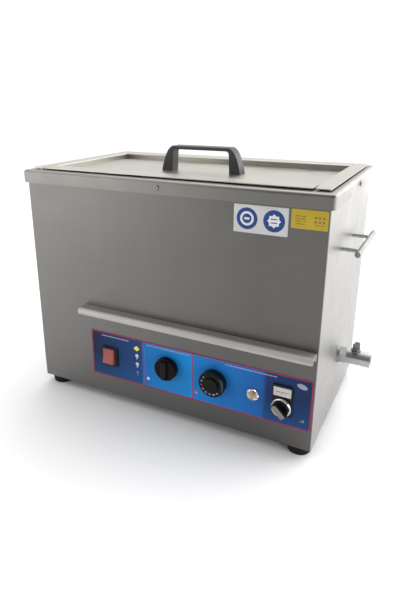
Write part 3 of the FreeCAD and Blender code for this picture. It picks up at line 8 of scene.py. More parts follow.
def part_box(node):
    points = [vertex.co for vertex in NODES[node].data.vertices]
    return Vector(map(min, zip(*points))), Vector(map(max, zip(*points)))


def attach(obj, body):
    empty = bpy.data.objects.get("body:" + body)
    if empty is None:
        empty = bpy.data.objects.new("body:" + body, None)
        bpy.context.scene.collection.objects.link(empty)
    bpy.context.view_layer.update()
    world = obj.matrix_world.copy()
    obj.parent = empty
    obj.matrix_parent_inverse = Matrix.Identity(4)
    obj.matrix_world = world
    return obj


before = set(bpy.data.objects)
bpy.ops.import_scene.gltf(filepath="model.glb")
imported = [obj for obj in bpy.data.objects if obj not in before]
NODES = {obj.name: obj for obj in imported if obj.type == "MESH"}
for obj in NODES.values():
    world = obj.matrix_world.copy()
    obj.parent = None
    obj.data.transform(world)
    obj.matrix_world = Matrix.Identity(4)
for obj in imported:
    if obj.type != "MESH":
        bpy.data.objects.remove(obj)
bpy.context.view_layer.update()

# The casing's own frame in millimetres: x = y = 0 at its middle, z = 0 at its
# bottom edge, front at -144.
lo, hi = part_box("outer_casing")
ORIGIN = Vector(((lo.x + hi.x) / 2, (lo.y + hi.y) / 2, lo.z))
FILM = -144.5


def P(x, y, z):
    return ORIGIN + Vector((x, y, z)) / 1000.0


# ---------------------------------------------------------------------------
# Camera
# ---------------------------------------------------------------------------
AZ, EL, ROLL = (math.radians(v) for v in (27.74, 18.69, -0.23))
back = Vector((math.sin(AZ) * math.cos(EL), -math.cos(AZ) * math.cos(EL), math.sin(EL)))
right = Vector((math.cos(AZ), math.sin(AZ), 0.0))
up = back.cross(right)
side = math.cos(ROLL) * right + math.sin(ROLL) * up
over = -math.sin(ROLL) * right + math.cos(ROLL) * up
cam_data = bpy.data.cameras.new("camera")
cam = bpy.data.objects.new("camera", cam_data)
bpy.context.scene.collection.objects.link(cam)
rot = Matrix((side, over, back)).transposed().to_4x4()
cam.matrix_world = Matrix.Translation(P(367.2, -770.9, 477.4)) @ rot
cam_data.sensor_width = 36.0
cam_data.lens = 31.34
cam_data.shift_x = 0.0298
cam_data.shift_y = -0.0487
cam_data.clip_start = 0.01
cam_data.clip_end = 200.0
bpy.context.scene.camera = cam


# ---------------------------------------------------------------------------
# Materials
# ---------------------------------------------------------------------------
class Mat:
    """A node material: m.noise(...), m.math(...) and so on return sockets."""

    def __init__(self, name):
        self.mat = bpy.data.materials.new(name)
        self.mat.use_nodes = True
        self.nt = self.mat.node_tree
        self.shader = self.nt.nodes["Principled BSDF"]
        self.coord = None

    def set(self, **kw):
        for k, v in kw.items():
            self.shader.inputs[k.replace("_", " ")].default_value = v
        return self

    def link(self, a, socket):
        self.nt.links.new(a, self.shader.inputs[socket])
        return self

    def pos(self):
        if self.coord is None:
            self.coord = self.nt.nodes.new("ShaderNodeTexCoord").outputs["Object"]
        return self.coord

    def stretch(self, scale, src=None):
        n = self.nt.nodes.new("ShaderNodeMapping")
        n.inputs["Scale"].default_value = scale
        self.nt.links.new(src or self.pos(), n.inputs["Vector"])
        return n.outputs["Vector"]

    def noise(self, scale, detail=3.0, rough=0.5, distort=0.0, vec=None):
        n = self.nt.nodes.new("ShaderNodeTexNoise")
        if isinstance(scale, tuple):
            vec = self.stretch(scale)
            scale = 1.0
        self.nt.links.new(vec or self.pos(), n.inputs["Vector"])
        n.inputs["Scale"].default_value = scale
        n.inputs["Detail"].default_value = detail
        n.inputs["Roughness"].default_value = rough
        n.inputs["Distortion"].default_value = distort
        return n.outputs["Fac"]

    def voronoi(self, scale):
        n = self.nt.nodes.new("ShaderNodeTexVoronoi")
        self.nt.links.new(self.pos(), n.inputs["Vector"])
        n.inputs["Scale"].default_value = scale
        return n.outputs["Distance"]

    def ramp(self, fac, stops, constant=False):
        n = self.nt.nodes.new("ShaderNodeValToRGB")
        if constant:
            n.color_ramp.interpolation = "CONSTANT"
        e = n.color_ramp.elements
        while len(e) < len(stops):
            e.new(0.5)
        for i, (p, c) in enumerate(stops):
            e[i].position = p
            e[i].color = tuple(c) + (1.0,) if len(c) == 3 else c
        self.nt.links.new(fac, n.inputs["Fac"])
        return n.outputs["Color"]

    def span(self, fac, a, b, c, d):
        n = self.nt.nodes.new("ShaderNodeMapRange")
        for k, v in (("From Min", a), ("From Max", b), ("To Min", c), ("To Max", d)):
            n.inputs[k].default_value = v
        self.nt.links.new(fac, n.inputs["Value"])
        return n.outputs["Result"]

    def math(self, op, a, b=None, clamp=False):
        n = self.nt.nodes.new("ShaderNodeMath")
        n.operation = op
        n.use_clamp = clamp
        for i, v in enumerate((a, b)):
            if v is None:
                continue
            if isinstance(v, (int, float)):
                n.inputs[i].default_value = v
            else:
                self.nt.links.new(v, n.inputs[i])
        return n.outputs[0]

    def xyz(self):
        n = self.nt.nodes.new("ShaderNodeSeparateXYZ")
        self.nt.links.new(self.pos(), n.inputs[0])
        return n.outputs[0], n.outputs[1], n.outputs[2]

    def mix(self, fac, a, b, kind="MIX"):
        n = self.nt.nodes.new("ShaderNodeMix")
        n.data_type = "RGBA"
        n.blend_type = kind
        for idx, v in ((0, fac), (6, a), (7, b)):
            if isinstance(v, (int, float)):
                n.inputs[idx].default_value = v
            elif isinstance(v, tuple):
                n.inputs[idx].default_value = v + (1.0,)
            else:
                self.nt.links.new(v, n.inputs[idx])
        return n.outputs[2]

    def bump(self, height, strength, distance):
        n = self.nt.nodes.new("ShaderNodeBump")
        n.inputs["Strength"].default_value = strength
        n.inputs["Distance"].default_value = distance
        self.nt.links.new(height, n.inputs["Height"])
        prev = self.shader.inputs["Normal"]
        if prev.is_linked:
            self.nt.links.new(prev.links[0].from_socket, n.inputs["Normal"])
        self.nt.links.new(n.outputs["Normal"], prev)
        return self


def steel(name, grain, tone, rough, spread=0.03, metal=0.94, smear=0.22, line=0.05, wave=0.0012, painted_side_light=1.0, painted_shade_drop=0.0, top=1.0):
    """Brushed sheet: fine grain along one direction, wiped smears, a few hairline scratches; optional painted shade
    along x and painted light on side and top faces.
    """
    m = Mat(name).set(Metallic=metal)
    fine = m.noise(grain, 4.0, 0.65)
    coarse = m.noise(tuple(g * 0.16 for g in grain), 3.0, 0.6)
    cloud = m.noise(4.2, 4.0, 0.55, 0.5)
    wipe = m.noise((7.0, 7.0, 2.6), 4.0, 0.6, 1.0)
    patch = m.noise(15.0, 3.0, 0.6, 0.8)
    hair = m.noise((34.0, 34.0, 900.0), 2.0, 0.4, 0.35)
    hair2 = m.noise((700.0, 700.0, 26.0), 2.0, 0.4, 0.5)
    dark = tuple(c * (1 - spread) for c in tone)
    lite = tuple(min(1.0, c * (1 + spread)) for c in tone)
    base = m.ramp(fine, [(0.30, dark), (0.70, lite)])
    base = m.mix(m.span(coarse, 0.3, 0.7, 0.0, 0.25), base, tuple(c * 0.95 for c in tone))
    base = m.mix(m.span(cloud, 0.38, 0.72, 0.0, smear), base, tuple(c * w for c, w in zip(tone, (0.78, 0.80, 0.84))))
    base = m.mix(m.span(wipe, 0.50, 0.72, 0.0, smear * 0.8), base, tuple(min(1.0, c * w) for c, w in zip(tone, (1.20, 1.19, 1.17))))
    cut = m.math("MAXIMUM", m.span(hair, 0.70, 0.74, 0.0, 1.0), m.span(hair2, 0.72, 0.76, 0.0, 1.0))
    base = m.mix(m.math("MULTIPLY", cut, 0.16), base, tuple(min(1.0, c * 1.4) for c in tone))
    whole = base
    if painted_shade_drop:  # painted shade: the long sheets are made darker towards the drain end
        dull_and_shade = m.mix(m.span(m.xyz()[0], ORIGIN.x - 0.24, ORIGIN.x + 0.15, 0.0, 1.0), (1.0, 1.0, 1.0), (1.0 - painted_shade_drop,) * 3)
        base = m.mix(1.0, base, dull_and_shade, "MULTIPLY")
    if painted_side_light != 1.0:  # painted light: faces that look to the sides get a lighter copy of the colour
        geo = m.nt.nodes.new("ShaderNodeNewGeometry")
        sep = m.nt.nodes.new("ShaderNodeSeparateXYZ")
        m.nt.links.new(geo.outputs["True Normal"], sep.inputs[0])
        side = m.span(m.math("ABSOLUTE", sep.outputs[0]), 0.55, 0.85, 0.0, 1.0)
        # painted light: faces that look up get a lighter copy of the colour
        if top != 1.0:
            flat = m.span(m.math("ABSOLUTE", sep.outputs[2]), 0.5, 0.9, 0.0, 1.0)
            base = m.mix(flat, base, m.mix(1.0, whole, (top, top, top), "MULTIPLY"))
        base = m.mix(side, base, m.mix(1.0, whole, (painted_side_light, painted_side_light * 1.005, painted_side_light * 1.015), "MULTIPLY"))
    m.link(base, "Base Color")
    r = m.math("ADD", m.span(fine, 0.25, 0.75, rough - 0.03, rough + 0.04), m.span(patch, 0.35, 0.7, -0.04, 0.06))
    r = m.math("ADD", r, m.span(wipe, 0.45, 0.75, 0.0, 0.07))
    m.link(r, "Roughness")
    m.bump(fine, line, 0.0001)
    m.bump(cloud, 0.10, wave)
    return m.mat


def plated(name, tone, rough, metal=1.0, wear=0.14):
    """Plated or turned metal: soft clouding, fine flecks, dull patches."""
    m = Mat(name).set(Metallic=metal)
    cloud = m.noise(70.0, 4.0, 0.6, 0.6)
    fleck = m.noise(420.0, 3.0, 0.6)
    dull_and_shade = m.noise(150.0, 3.0, 0.6, 1.0)
    base = m.ramp(cloud, [(0.3, tuple(c * (1 - wear) for c in tone)), (0.7, tone)])
    m.link(m.mix(m.span(dull_and_shade, 0.5, 0.75, 0.0, 0.35), base, tuple(c * 0.72 for c in tone)), "Base Color")
    m.link(m.math("ADD", m.span(fleck, 0.3, 0.7, rough * 0.9, rough * 1.15), m.span(dull_and_shade, 0.45, 0.75, 0.0, 0.10)), "Roughness")
    m.bump(fleck, 0.05, 0.00004)
    return m.mat


def plastic(name, tone, rough, grain=900.0, depth=0.00008, coat=0.0, lift=1.35, strength=0.35, shine=0.3):
    m = Mat(name).set(Metallic=0.0, Specular_IOR_Level=shine)
    if coat:
        m.set(Coat_Weight=coat, Coat_Roughness=0.12)
    g = m.noise(grain, 3.0, 0.6)
    cloud = m.noise(34.0, 4.0, 0.6)
    m.link(m.mix(m.span(cloud, 0.35, 0.75, 0.0, 0.6), tone, tuple(min(1, c * lift + 0.004) for c in tone)), "Base Color")
    m.link(m.math("ADD", m.span(g, 0.3, 0.7, rough - 0.05, rough + 0.07), m.span(cloud, 0.3, 0.7, -0.03, 0.04)), "Roughness")
    m.bump(g, strength, depth)
    return m.mat


# casing and rim carry painted shade that darkens towards the drain end and painted light on their side faces; the rim
# has painted light on its top too
STEEL = steel("steel_casing", (520.0, 520.0, 7.0), (0.182, 0.177, 0.169), 0.36, smear=0.16, wave=0.0007, painted_side_light=1.85, painted_shade_drop=0.36)
STEEL_RIM = steel("steel_rim", (7.0, 520.0, 520.0), (0.222, 0.214, 0.203), 0.35, wave=0.0004, painted_side_light=1.28, painted_shade_drop=0.34, top=1.35)
STEEL_LID = steel("steel_lid", (7.0, 520.0, 520.0), (0.445, 0.430, 0.385), 0.34, smear=0.08, line=0.03, wave=0.00005)
STEEL_LEDGE = steel("steel_ledge", (7.0, 520.0, 520.0), (0.40, 0.388, 0.366), 0.46, metal=0.66, smear=0.14, wave=0.0003)
STEEL_TANK = steel("steel_tank", (300.0, 300.0, 9.0), (0.50, 0.49, 0.47), 0.29, smear=0.12, wave=0.0002)
STEEL_BAR = steel("steel_bar", (520.0, 7.0, 520.0), (0.20, 0.197, 0.190), 0.34, smear=0.1, wave=0.0002)
STEEL_BACK = steel("steel_back", (520.0, 520.0, 7.0), (0.32, 0.31, 0.295), 0.42)
ZINC = plated("zinc_screw", (0.28, 0.28, 0.27), 0.36)
NICKEL = plated("nickel", (0.50, 0.505, 0.51), 0.33, wear=0.22)
CHROME = plated("chrome_ring", (0.62, 0.62, 0.62), 0.18)
COPPER = plated("copper_tube", (0.72, 0.40, 0.25), 0.30)
BRASS = plated("brass_pin", (0.78, 0.62, 0.32), 0.28)
BLACK = plastic("black_moulded", (0.010, 0.010, 0.012), 0.42, shine=0.2)
BLACK_GRIP = plastic("black_grip", (0.034, 0.034, 0.037), 0.44, 650.0, 0.00012, shine=0.42)
BLACK_KNOB = plastic("black_knob", (0.0045, 0.005, 0.0055), 0.34, 900.0, 0.00006, shine=0.12)
KNOB_WARM = plastic("knob_warm", (0.0060, 0.0030, 0.0018), 0.42, 900.0, 0.00006, shine=0.09)
RED = plastic("red_rocker", (0.30, 0.066, 0.064), 0.38, 700.0, 0.00005, coat=0.12)
WHITE = plastic("white_moulded", (0.52, 0.51, 0.50), 0.45, lift=1.05, shine=0.15)
PTFE = plastic("white_seat", (0.84, 0.84, 0.83), 0.35, lift=1.03)
RUBBER = plastic("black_rubber", (0.008, 0.008, 0.009), 0.72, 380.0, 0.0002, strength=0.6, shine=0.2)
SILICONE = plastic("heater_silicone", (0.50, 0.13, 0.06), 0.62, 500.0, 0.0001)
SHEATH = plastic("cable_sheath", (0.025, 0.025, 0.027), 0.50, 500.0, 0.00012)
PHENOLIC = plastic("unit_case", (0.045, 0.043, 0.042), 0.5)
# painted highlight: grey for the lit face of the selector's black bar
SHEEN_TAUPE = plastic("taupe_painted_sheen", (0.20, 0.178, 0.160), 0.4, lift=1.15)
INK_SOFT = plastic("ink_soft", (0.24, 0.29, 0.36), 0.45, 300.0, 0.00001, lift=1.3)
INK_TAN = plastic("ink_tan", (0.42, 0.37, 0.27), 0.45, 300.0, 0.00001, lift=1.1)
INK_BROWN = plastic("ink_brown", (0.17, 0.115, 0.035), 0.5, 300.0, 0.00001)
INK_WHITE = plastic("ink_white", (0.60, 0.61, 0.63), 0.45, 300.0, 0.00001, lift=1.06)
INK_DIAL = plastic("ink_dial", (0.46, 0.47, 0.48), 0.5, 300.0, 0.00001, lift=1.1)
INK_DARK = plastic("ink_dark", (0.05, 0.045, 0.03), 0.5, 300.0, 0.00001)
INK_BLUE = plastic("ink_blue", (0.008, 0.040, 0.165), 0.45, 300.0, 0.00001)
INK_RED = plastic("ink_red", (0.62, 0.03, 0.05), 0.42, 300.0, 0.00001)
INK_YELLOW = plastic("ink_yellow", (0.80, 0.66, 0.05), 0.42, 300.0, 0.00001)


def wool_material():
    m = Mat("wrapped_wool")
    a = m.noise((40.0, 40.0, 260.0), 5.0, 0.7, 1.2)
    b_ = m.voronoi(160.0)
    m.link(m.ramp(a, [(0.3, (0.50, 0.44, 0.30)), (0.7, (0.78, 0.73, 0.58))]), "Base Color")
    m.link(m.span(b_, 0.0, 0.6, 0.8, 1.0), "Roughness")
    m.bump(a, 0.9, 0.0012)
    return m.mat


def lens_material():
    m = Mat("amber_lens").set(Transmission_Weight=0.25, IOR=1.49, Coat_Weight=0.5)
    x, y, z = m.xyz()
    rib = m.noise(260.0, 3.0, 0.5)
    m.link(m.ramp(rib, [(0.3, (0.40, 0.27, 0.13)), (0.75, (0.66, 0.50, 0.28))]), "Base Color")
    m.link(m.span(rib, 0.3, 0.7, 0.12, 0.28), "Roughness")
    m.bump(rib, 0.3, 0.0003)
    return m.mat


def glass_material():
    m = Mat("fuse_glass").set(Transmission_Weight=0.7, IOR=1.47)
    n = m.noise(200.0, 2.0)
    m.link(m.ramp(n, [(0.3, (0.80, 0.84, 0.86)), (0.7, (0.92, 0.94, 0.95))]), "Base Color")
    m.link(m.span(n, 0.3, 0.7, 0.05, 0.12), "Roughness")
    return m.mat


def overlay_material():
    """Printed film: blue fields between red lines, with a red line round the edge."""
    m = Mat("panel_print").set(Metallic=0.0, Specular_IOR_Level=0.15)
    x, _, z = m.xyz()
    o = ORIGIN
    xm = m.math("MULTIPLY", m.math("SUBTRACT", x, o.x), 1000.0)
    zm = m.math("MULTIPLY", m.math("SUBTRACT", z, o.z), 1000.0)
    cx, hx = (-132.0 + 237.4) / 2, (132.0 + 237.4) / 2
    cz, hz = 71.0, 40.0
    field = m.span(xm, -132.0, 237.4, 0.0, 1.0)

    def at(v):
        return (v + 132.0) / 369.4

    # the blue is darkest in the left field and at the right end, brightest just left of the second red line, and
    # lighter towards the bottom
    blue = m.ramp(field, [
        (0.0, (0.006, 0.008, 0.032)), (at(-110), (0.008, 0.016, 0.062)), (at(-36), (0.009, 0.048, 0.175)),
        (at(-31), (0.008, 0.155, 0.46)), (at(15), (0.008, 0.205, 0.55)), (at(54), (0.008, 0.230, 0.60)),
        (at(57), (0.010, 0.185, 0.55)), (at(120), (0.010, 0.140, 0.45)), (at(165), (0.010, 0.090, 0.33)),
        (at(172), (0.008, 0.024, 0.105)), (at(237), (0.007, 0.014, 0.062))])
    rise = m.span(zm, 31.0, 111.0, 0.0, 1.0)
    blue = m.mix(m.span(rise, 0.55, 0.0, 0.0, 0.20), blue, (0.02, 0.18, 0.50))
    grit = m.noise(900.0, 2.0)
    blue = m.mix(m.span(grit, 0.35, 0.7, 0.0, 0.10), blue, (0.03, 0.20, 0.50))
    # distance inside a rounded rectangle, in millimetres
    r = 5.0
    qx = m.math("SUBTRACT", m.math("ABSOLUTE", m.math("SUBTRACT", xm, cx)), hx - r)
    qz = m.math("SUBTRACT", m.math("ABSOLUTE", m.math("SUBTRACT", zm, cz)), hz - r)
    far = m.math("SQRT", m.math("ADD", m.math("POWER", m.math("MAXIMUM", qx, 0.0), 2.0),
                                m.math("POWER", m.math("MAXIMUM", qz, 0.0), 2.0)))
    dist = m.math("SUBTRACT", m.math("ADD", far, m.math("MINIMUM", m.math("MAXIMUM", qx, qz), 0.0)), r)
    line = m.math("GREATER_THAN", dist, -2.0)
    edge = m.math("GREATER_THAN", dist, -0.5)
    d1 = m.math("LESS_THAN", m.math("ABSOLUTE", m.math("SUBTRACT", xm, -32.0)), 0.75)
    d2 = m.math("LESS_THAN", m.math("ABSOLUTE", m.math("SUBTRACT", xm, 55.0)), 0.75)
    red = m.math("MAXIMUM", line, m.math("MAXIMUM", d1, d2))
    colour = m.mix(red, blue, (0.31, 0.028, 0.058))
    colour = m.mix(edge, colour, (0.16, 0.03, 0.10))
    m.link(colour, "Base Color")
    m.link(m.span(grit, 0.3, 0.7, 0.34, 0.46), "Roughness")
    m.bump(grit, 0.15, 0.00004)
    return m.mat


def label_material():
    """One film node, two labels: white to the left, yellow to the right."""
    m = Mat("label_print").set(Specular_IOR_Level=0.18)
    x, _, z = m.xyz()
    xm = m.math("MULTIPLY", m.math("SUBTRACT", x, ORIGIN.x), 1000.0)
    grit = m.noise(500.0, 2.0)
    cloud = m.noise(25.0, 3.0)
    white = m.ramp(cloud, [(0.3, (0.46, 0.46, 0.475)), (0.7, (0.52, 0.52, 0.535))])
    yellow = m.ramp(cloud, [(0.3, (0.385, 0.27, 0.020)), (0.7, (0.45, 0.33, 0.035))])
    m.link(m.mix(m.math("GREATER_THAN", xm, 190.0), white, yellow), "Base Color")
    m.link(m.span(grit, 0.3, 0.7, 0.38, 0.5), "Roughness")
    m.bump(grit, 0.12, 0.00004)
    return m.mat


OVERLAY, LABELS, WOOL, LENS, GLASS = (
    overlay_material(), label_material(), wool_material(), lens_material(), glass_material())

FINISH = {
    STEEL: "outer_casing",
    STEEL_BACK: "rear_panel bottom_plate",
    STEEL_RIM: "top_rim",
    STEEL_LID: "lid_pan",
    STEEL_LEDGE: "drip_ledge",
    STEEL_TANK: "inner_tank drain_boss drain_elbow drain_nipple",
    STEEL_BAR: "handle_bar_right handle_bar_left",
    ZINC: "foot_screws foot_nuts rim_screws lid_handle_screws handle_screws control_screws rear_panel_screws "
          "timer_shaft thermostat_shaft earth_stud bulb_clips overheat_cutout",
    NICKEL: "valve_body drain_locknuts valve_ball valve_stem handle_posts",
    CHROME: "selector_bezel lamp_bezel",
    COPPER: "thermostat_capillary thermostat_bulb",
    BRASS: "inlet_pins",
    BLACK: "power_switch_housing legend_holder selector_collar mains_inlet fuse_drawer",
    BLACK_GRIP: "lid_handle valve_lever",
    BLACK_KNOB: "thermostat_knob selector_handle",
    KNOB_WARM: "timer_knob",
    RED: "power_rocker",
    WHITE: "legend_insert",
    PTFE: "valve_seats",
    RUBBER: "rubber_feet",
    SILICONE: "heater_mat_floor heater_mats_side",
    SHEATH: "wiring_loom",
    PHENOLIC: "timer_body thermostat_body selector_contacts terminal_block",
    OVERLAY: "panel_overlay",
    LABELS: "front_labels",
    WOOL: "insulation_jacket",
    LENS: "lamp_lens",
    GLASS: "fuses",
}
done = set()
for mat, names in FINISH.items():
    for n in names.split():
        o = NODES[n]
        o.data.materials.clear()
        o.data.materials.append(mat)
        done.add(n)
missing = set(NODES) - done
if missing:
    raise RuntimeError("no finish for " + ", ".join(sorted(missing)))


# ---------------------------------------------------------------------------
# Pieces
# ---------------------------------------------------------------------------
def piece(name, bm, mat, body, smooth=False, bevel=0.0):
    mesh = bpy.data.meshes.new(name)
    bm.normal_update()
    bm.to_mesh(mesh)
    bm.free()
    if smooth:
        for f in mesh.polygons:
            f.use_smooth = True
    o = bpy.data.objects.new(name, mesh)
    bpy.context.scene.collection.objects.link(o)
    mesh.materials.append(mat)
    if bevel:
        b = o.modifiers.new("edge", "BEVEL")
        b.width = bevel
        b.segments = 2
        b.limit_method = "ANGLE"
    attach(o, body)
    return o


def front_print(name, outlines, mat, y=FILM, thick=0.06, body="root"):
    """Flat printed marks on a surface that faces the front: outlines of (x, z) in millimetres."""
    bm = bmesh.new()
    for pts in outlines:
        f = [bm.verts.new(P(x, y - thick, z)) for x, z in pts]
        b = [bm.verts.new(P(x, y + 0.02, z)) for x, z in pts]
        bm.faces.new(f)
        bm.faces.new(list(reversed(b)))
        for i in range(len(pts)):
            j = (i + 1) % len(pts)
            bm.faces.new((f[j], f[i], b[i], b[j]))
    bmesh.ops.recalc_face_normals(bm, faces=bm.faces)
    return piece(name, bm, mat, body)


def disc(cx, cz, r, n=32):
    return [(cx + r * math.cos(2 * math.pi * i / n), cz + r * math.sin(2 * math.pi * i / n)) for i in range(n)]


def bar(cx, cz, w, h, turn=0.0):
    c, s = math.cos(math.radians(turn)), math.sin(math.radians(turn))
    return [(cx + x * c - z * s, cz + x * s + z * c) for x, z in ((-w / 2, -h / 2), (w / 2, -h / 2), (w / 2, h / 2), (-w / 2, h / 2))]


def arc(cx, cz, r0, r1, a0, a1, n=24):
    """Sector of a ring; angles in degrees, 0 to the right, anticlockwise as seen from the front."""
    out = [(cx + r1 * math.cos(math.radians(a0 + (a1 - a0) * i / n)), cz + r1 * math.sin(math.radians(a0 + (a1 - a0) * i / n))) for i in range(n + 1)]
    out += [(cx + r0 * math.cos(math.radians(a1 - (a1 - a0) * i / n)), cz + r0 * math.sin(math.radians(a1 - (a1 - a0) * i / n))) for i in range(n + 1)]
    return out


def dashes(x0, x1, z, h, steps):
    """A strip of short bars of uneven length, where a title would be."""
    out, x, i = [], x0, 0
    while x < x1 - 0.8:
        w = steps[i % len(steps)]
        w = min(w, x1 - x)
        out.append(bar(x + w / 2, z, w, h))
        x += w + 0.9
        i += 1
    return out


TX, TZ, TR = 12.5, 76.6, 18.2
SX, SZ, SR = 91.3, 73.1, 20.5
KNOB = FILM - 2.7  # back face of both knobs
LX, LZ = 152.0, 68.3
CX, CZ = 195.5, 61.5

# plain strips where the panel has its titles
front_print("title_left", dashes(-111, -58, 104.6, 2.1, (3.4, 2.2, 4.1, 2.8, 3.1)), INK_SOFT)
front_print("title_middle", dashes(-26, 50, 105.4, 1.7, (2.6, 3.6, 2.1, 3.0)), INK_SOFT)
front_print("title_right", dashes(108, 186, 105.0, 1.8, (3.0, 2.2, 3.8, 2.5)), INK_SOFT)
# column of small marks beside the power switch
front_print("mark_lozenge", [[(-50.0, 94.6), (-44.5, 90.0), (-39.0, 94.6), (-44.5, 99.6)]], INK_YELLOW)
front_print("mark_column", [disc(-44.3, 82.2, 3.0, 16), bar(-44.3, 78.6, 2.2, 4.6), disc(-44.0, 67.4, 3.0, 16), bar(-44.0, 63.8, 2.2, 4.6)], INK_WHITE)
front_print("mark_column_low", [bar(-43.6, 53.4, 5.0, 1.0), bar(-43.6, 50.4, 1.0, 5.6)], INK_SOFT)
front_print("mark_middle_low", [disc(-24.0, 46.8, 2.6, 18)], INK_WHITE)
front_print("mark_right_low", [disc(61.5, 45.6, 2.4, 18)], INK_RED)
front_print("mark_right_low_dot", [disc(61.5, 45.6, 0.9, 12)], INK_WHITE, thick=0.1)
front_print("mark_corner_top", [[(222.0 + 7.2 * math.cos(t) + 1.2 * math.sin(t), 99.2 - 2.0 * math.cos(t) + 3.6 * math.sin(t)) for t in [2 * math.pi * i / 28 for i in range(28)]]], INK_SOFT)
front_print("mark_corner_low", [bar(225.0, 44.5, 6.0, 1.2), bar(226.5, 47.0, 3.0, 1.0)], INK_SOFT)
# scales round the two knobs
ticks = []
for k in range(25):
    a = math.radians(-60 + 300 * k / 24.0)
    ca, sa = math.cos(a), math.sin(a)
    ln = 3.6 if k % 4 == 0 else 2.0
    w = 0.35
    rr = TR + 3.4
    ticks.append([(TX + ca * rr - sa * w, TZ + sa * rr + ca * w), (TX + ca * rr + sa * w, TZ + sa * rr - ca * w),
                  (TX + ca * (rr + ln) + sa * w, TZ + sa * (rr + ln) - ca * w), (TX + ca * (rr + ln) - sa * w, TZ + sa * (rr + ln) + ca * w)])
front_print("timer_scale", ticks, INK_BLUE)
front_print("stat_scale", [bar(SX, SZ + 27.0, 1.0, 4.4), bar(SX - 6.5, SZ + 26.2, 0.9, 2.2, 14), bar(SX + 6.5, SZ + 26.2, 0.9, 2.2, -14)], INK_BLUE)

# the two labels under the rim: plain shapes in the places of the pictures
LY = -144.3
front_print("label_discs", [disc(133.0, 324.4, 14.4, 48), disc(169.5, 324.2, 14.4, 48)], INK_BLUE, y=LY)
front_print("label_shapes", [
    arc(133.0, 324.4, 6.4, 9.4, 0.4, 179.6, 28), arc(133.0, 324.4, 6.4, 9.4, 180.4, 359.6, 28), bar(133.0, 324.4, 7.0, 3.0),
    [(169.5 + (9.2 if k % 2 == 0 else 7.05) * math.cos(math.pi * k / 8), 324.2 + (9.2 if k % 2 == 0 else 7.05) * math.sin(math.pi * k / 8)) for k in range(16)]], INK_WHITE, y=LY, thick=0.1)
front_print("label_cuts", [bar(169.5, 326.6, 9.0, 1.3), bar(169.5, 321.8, 9.0, 1.3)], INK_BLUE, y=LY, thick=0.14)
front_print("label_marks", [
    bar(199.5, 334.4, 5.6, 1.5), bar(206.9, 334.4, 5.6, 1.5), bar(203.2, 331.0, 13.0, 1.2), bar(200.4, 327.8, 7.4, 1.2), bar(208.0, 327.8, 3.4, 1.2),
    bar(203.2, 324.6, 11.0, 1.2), bar(222.0, 333.8, 3.0, 3.0), bar(227.0, 333.8, 3.0, 3.0), bar(232.0, 333.8, 3.0, 3.0),
    bar(222.0, 328.6, 3.0, 3.0), bar(227.0, 328.6, 3.0, 3.0), bar(232.0, 328.6, 3.0, 3.0), bar(227.0, 324.6, 12.6, 0.9)], INK_BROWN, y=LY)
# the selector's legend
front_print("legend_marks", dashes(CX - 9.0, CX + 9.0, CZ + 23.2, 1.3, (3.2, 2.4, 4.0)), INK_BROWN, y=FILM - 2.8)


# numbers round the thermostat's dial
def numeral(name, text, cx, cz, y, size, turn, mat, body):
    c = bpy.data.curves.new(name, "FONT")
    c.body = text
    c.size = size / 1000.0
    c.extrude = 0.00008
    c.offset = 0.00004
    c.resolution_u = 4
    c.align_x = "CENTER"
    c.align_y = "CENTER"
    tmp = bpy.data.objects.new(name + "_tmp", c)
    bpy.context.scene.collection.objects.link(tmp)
    bpy.context.view_layer.update()
    mesh = bpy.data.meshes.new_from_object(tmp.evaluated_get(bpy.context.evaluated_depsgraph_get()))
    bpy.data.objects.remove(tmp)
    bpy.data.curves.remove(c)
    bm = bmesh.new()
    bm.from_mesh(mesh)
    bmesh.ops.remove_doubles(bm, verts=bm.verts, dist=2e-6)
    bmesh.ops.recalc_face_normals(bm, faces=bm.faces)
    bm.to_mesh(mesh)
    bm.free()
    mesh.transform(Matrix.Translation(P(cx, y, cz)) @ Matrix.Rotation(-math.radians(turn), 4, "Y") @ Matrix.Rotation(math.radians(90), 4, "X"))
    mesh.materials.clear()
    mesh.materials.append(mat)
    o = bpy.data.objects.new(name, mesh)
    bpy.context.scene.collection.objects.link(o)
    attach(o, body)
    return o


for k, (text, ang) in enumerate((("0", 140), ("30", 165), ("40", 190), ("50", 215), ("60", 240), ("70", 264), ("80", 288), ("90", 312))):
    a = math.radians(ang)
    numeral("dial_number_%d" % k, text, SX + 15.6 * math.cos(a), SZ + 15.6 * math.sin(a), KNOB - 10.56, 3.6, ang - 90 + 180,
            INK_RED if k == 2 else INK_DIAL, "thermostat")
front_print("dial_arc", [arc(SX, SZ, 18.0, 18.4, -24, 44)], INK_SOFT, y=KNOB - 10.5, thick=0.08, body="thermostat")
# moulded inlay on the timer's grip, and a grey plate on the selector's bar that is a painted highlight of the black
# bar's lit face


def spin(pts, cx, cz, turn):
    c, s = math.cos(math.radians(turn)), math.sin(math.radians(turn))
    return [(cx + (x - cx) * c - (z - cz) * s, cz + (x - cx) * s + (z - cz) * c) for x, z in pts]


def inlay(name, outline, y, drop, mat, body, inset=0.7):
    """A thin raised plate with a sloping edge, on a face that looks to the front."""
    bm = bmesh.new()
    cx = sum(p[0] for p in outline) / len(outline)
    cz = sum(p[1] for p in outline) / len(outline)
    rings = []
    for yy, k in ((y + 0.02, 0.0), (y - drop * 0.6, 0.15), (y - drop, inset)):
        row = []
        for x, z in outline:
            dx, dz = x - cx, z - cz
            ln = math.hypot(dx, dz)
            row.append(bm.verts.new(P(x - dx / ln * k, yy, z - dz / ln * k)))
        rings.append(row)
    n = len(outline)
    for a, b in zip(rings, rings[1:]):
        for i in range(n):
            bm.faces.new((a[i], a[(i + 1) % n], b[(i + 1) % n], b[i]))
    bm.faces.new(rings[-1])
    bm.faces.new(list(reversed(rings[0])))
    bmesh.ops.recalc_face_normals(bm, faces=bm.faces)
    return piece(name, bm, mat, body)


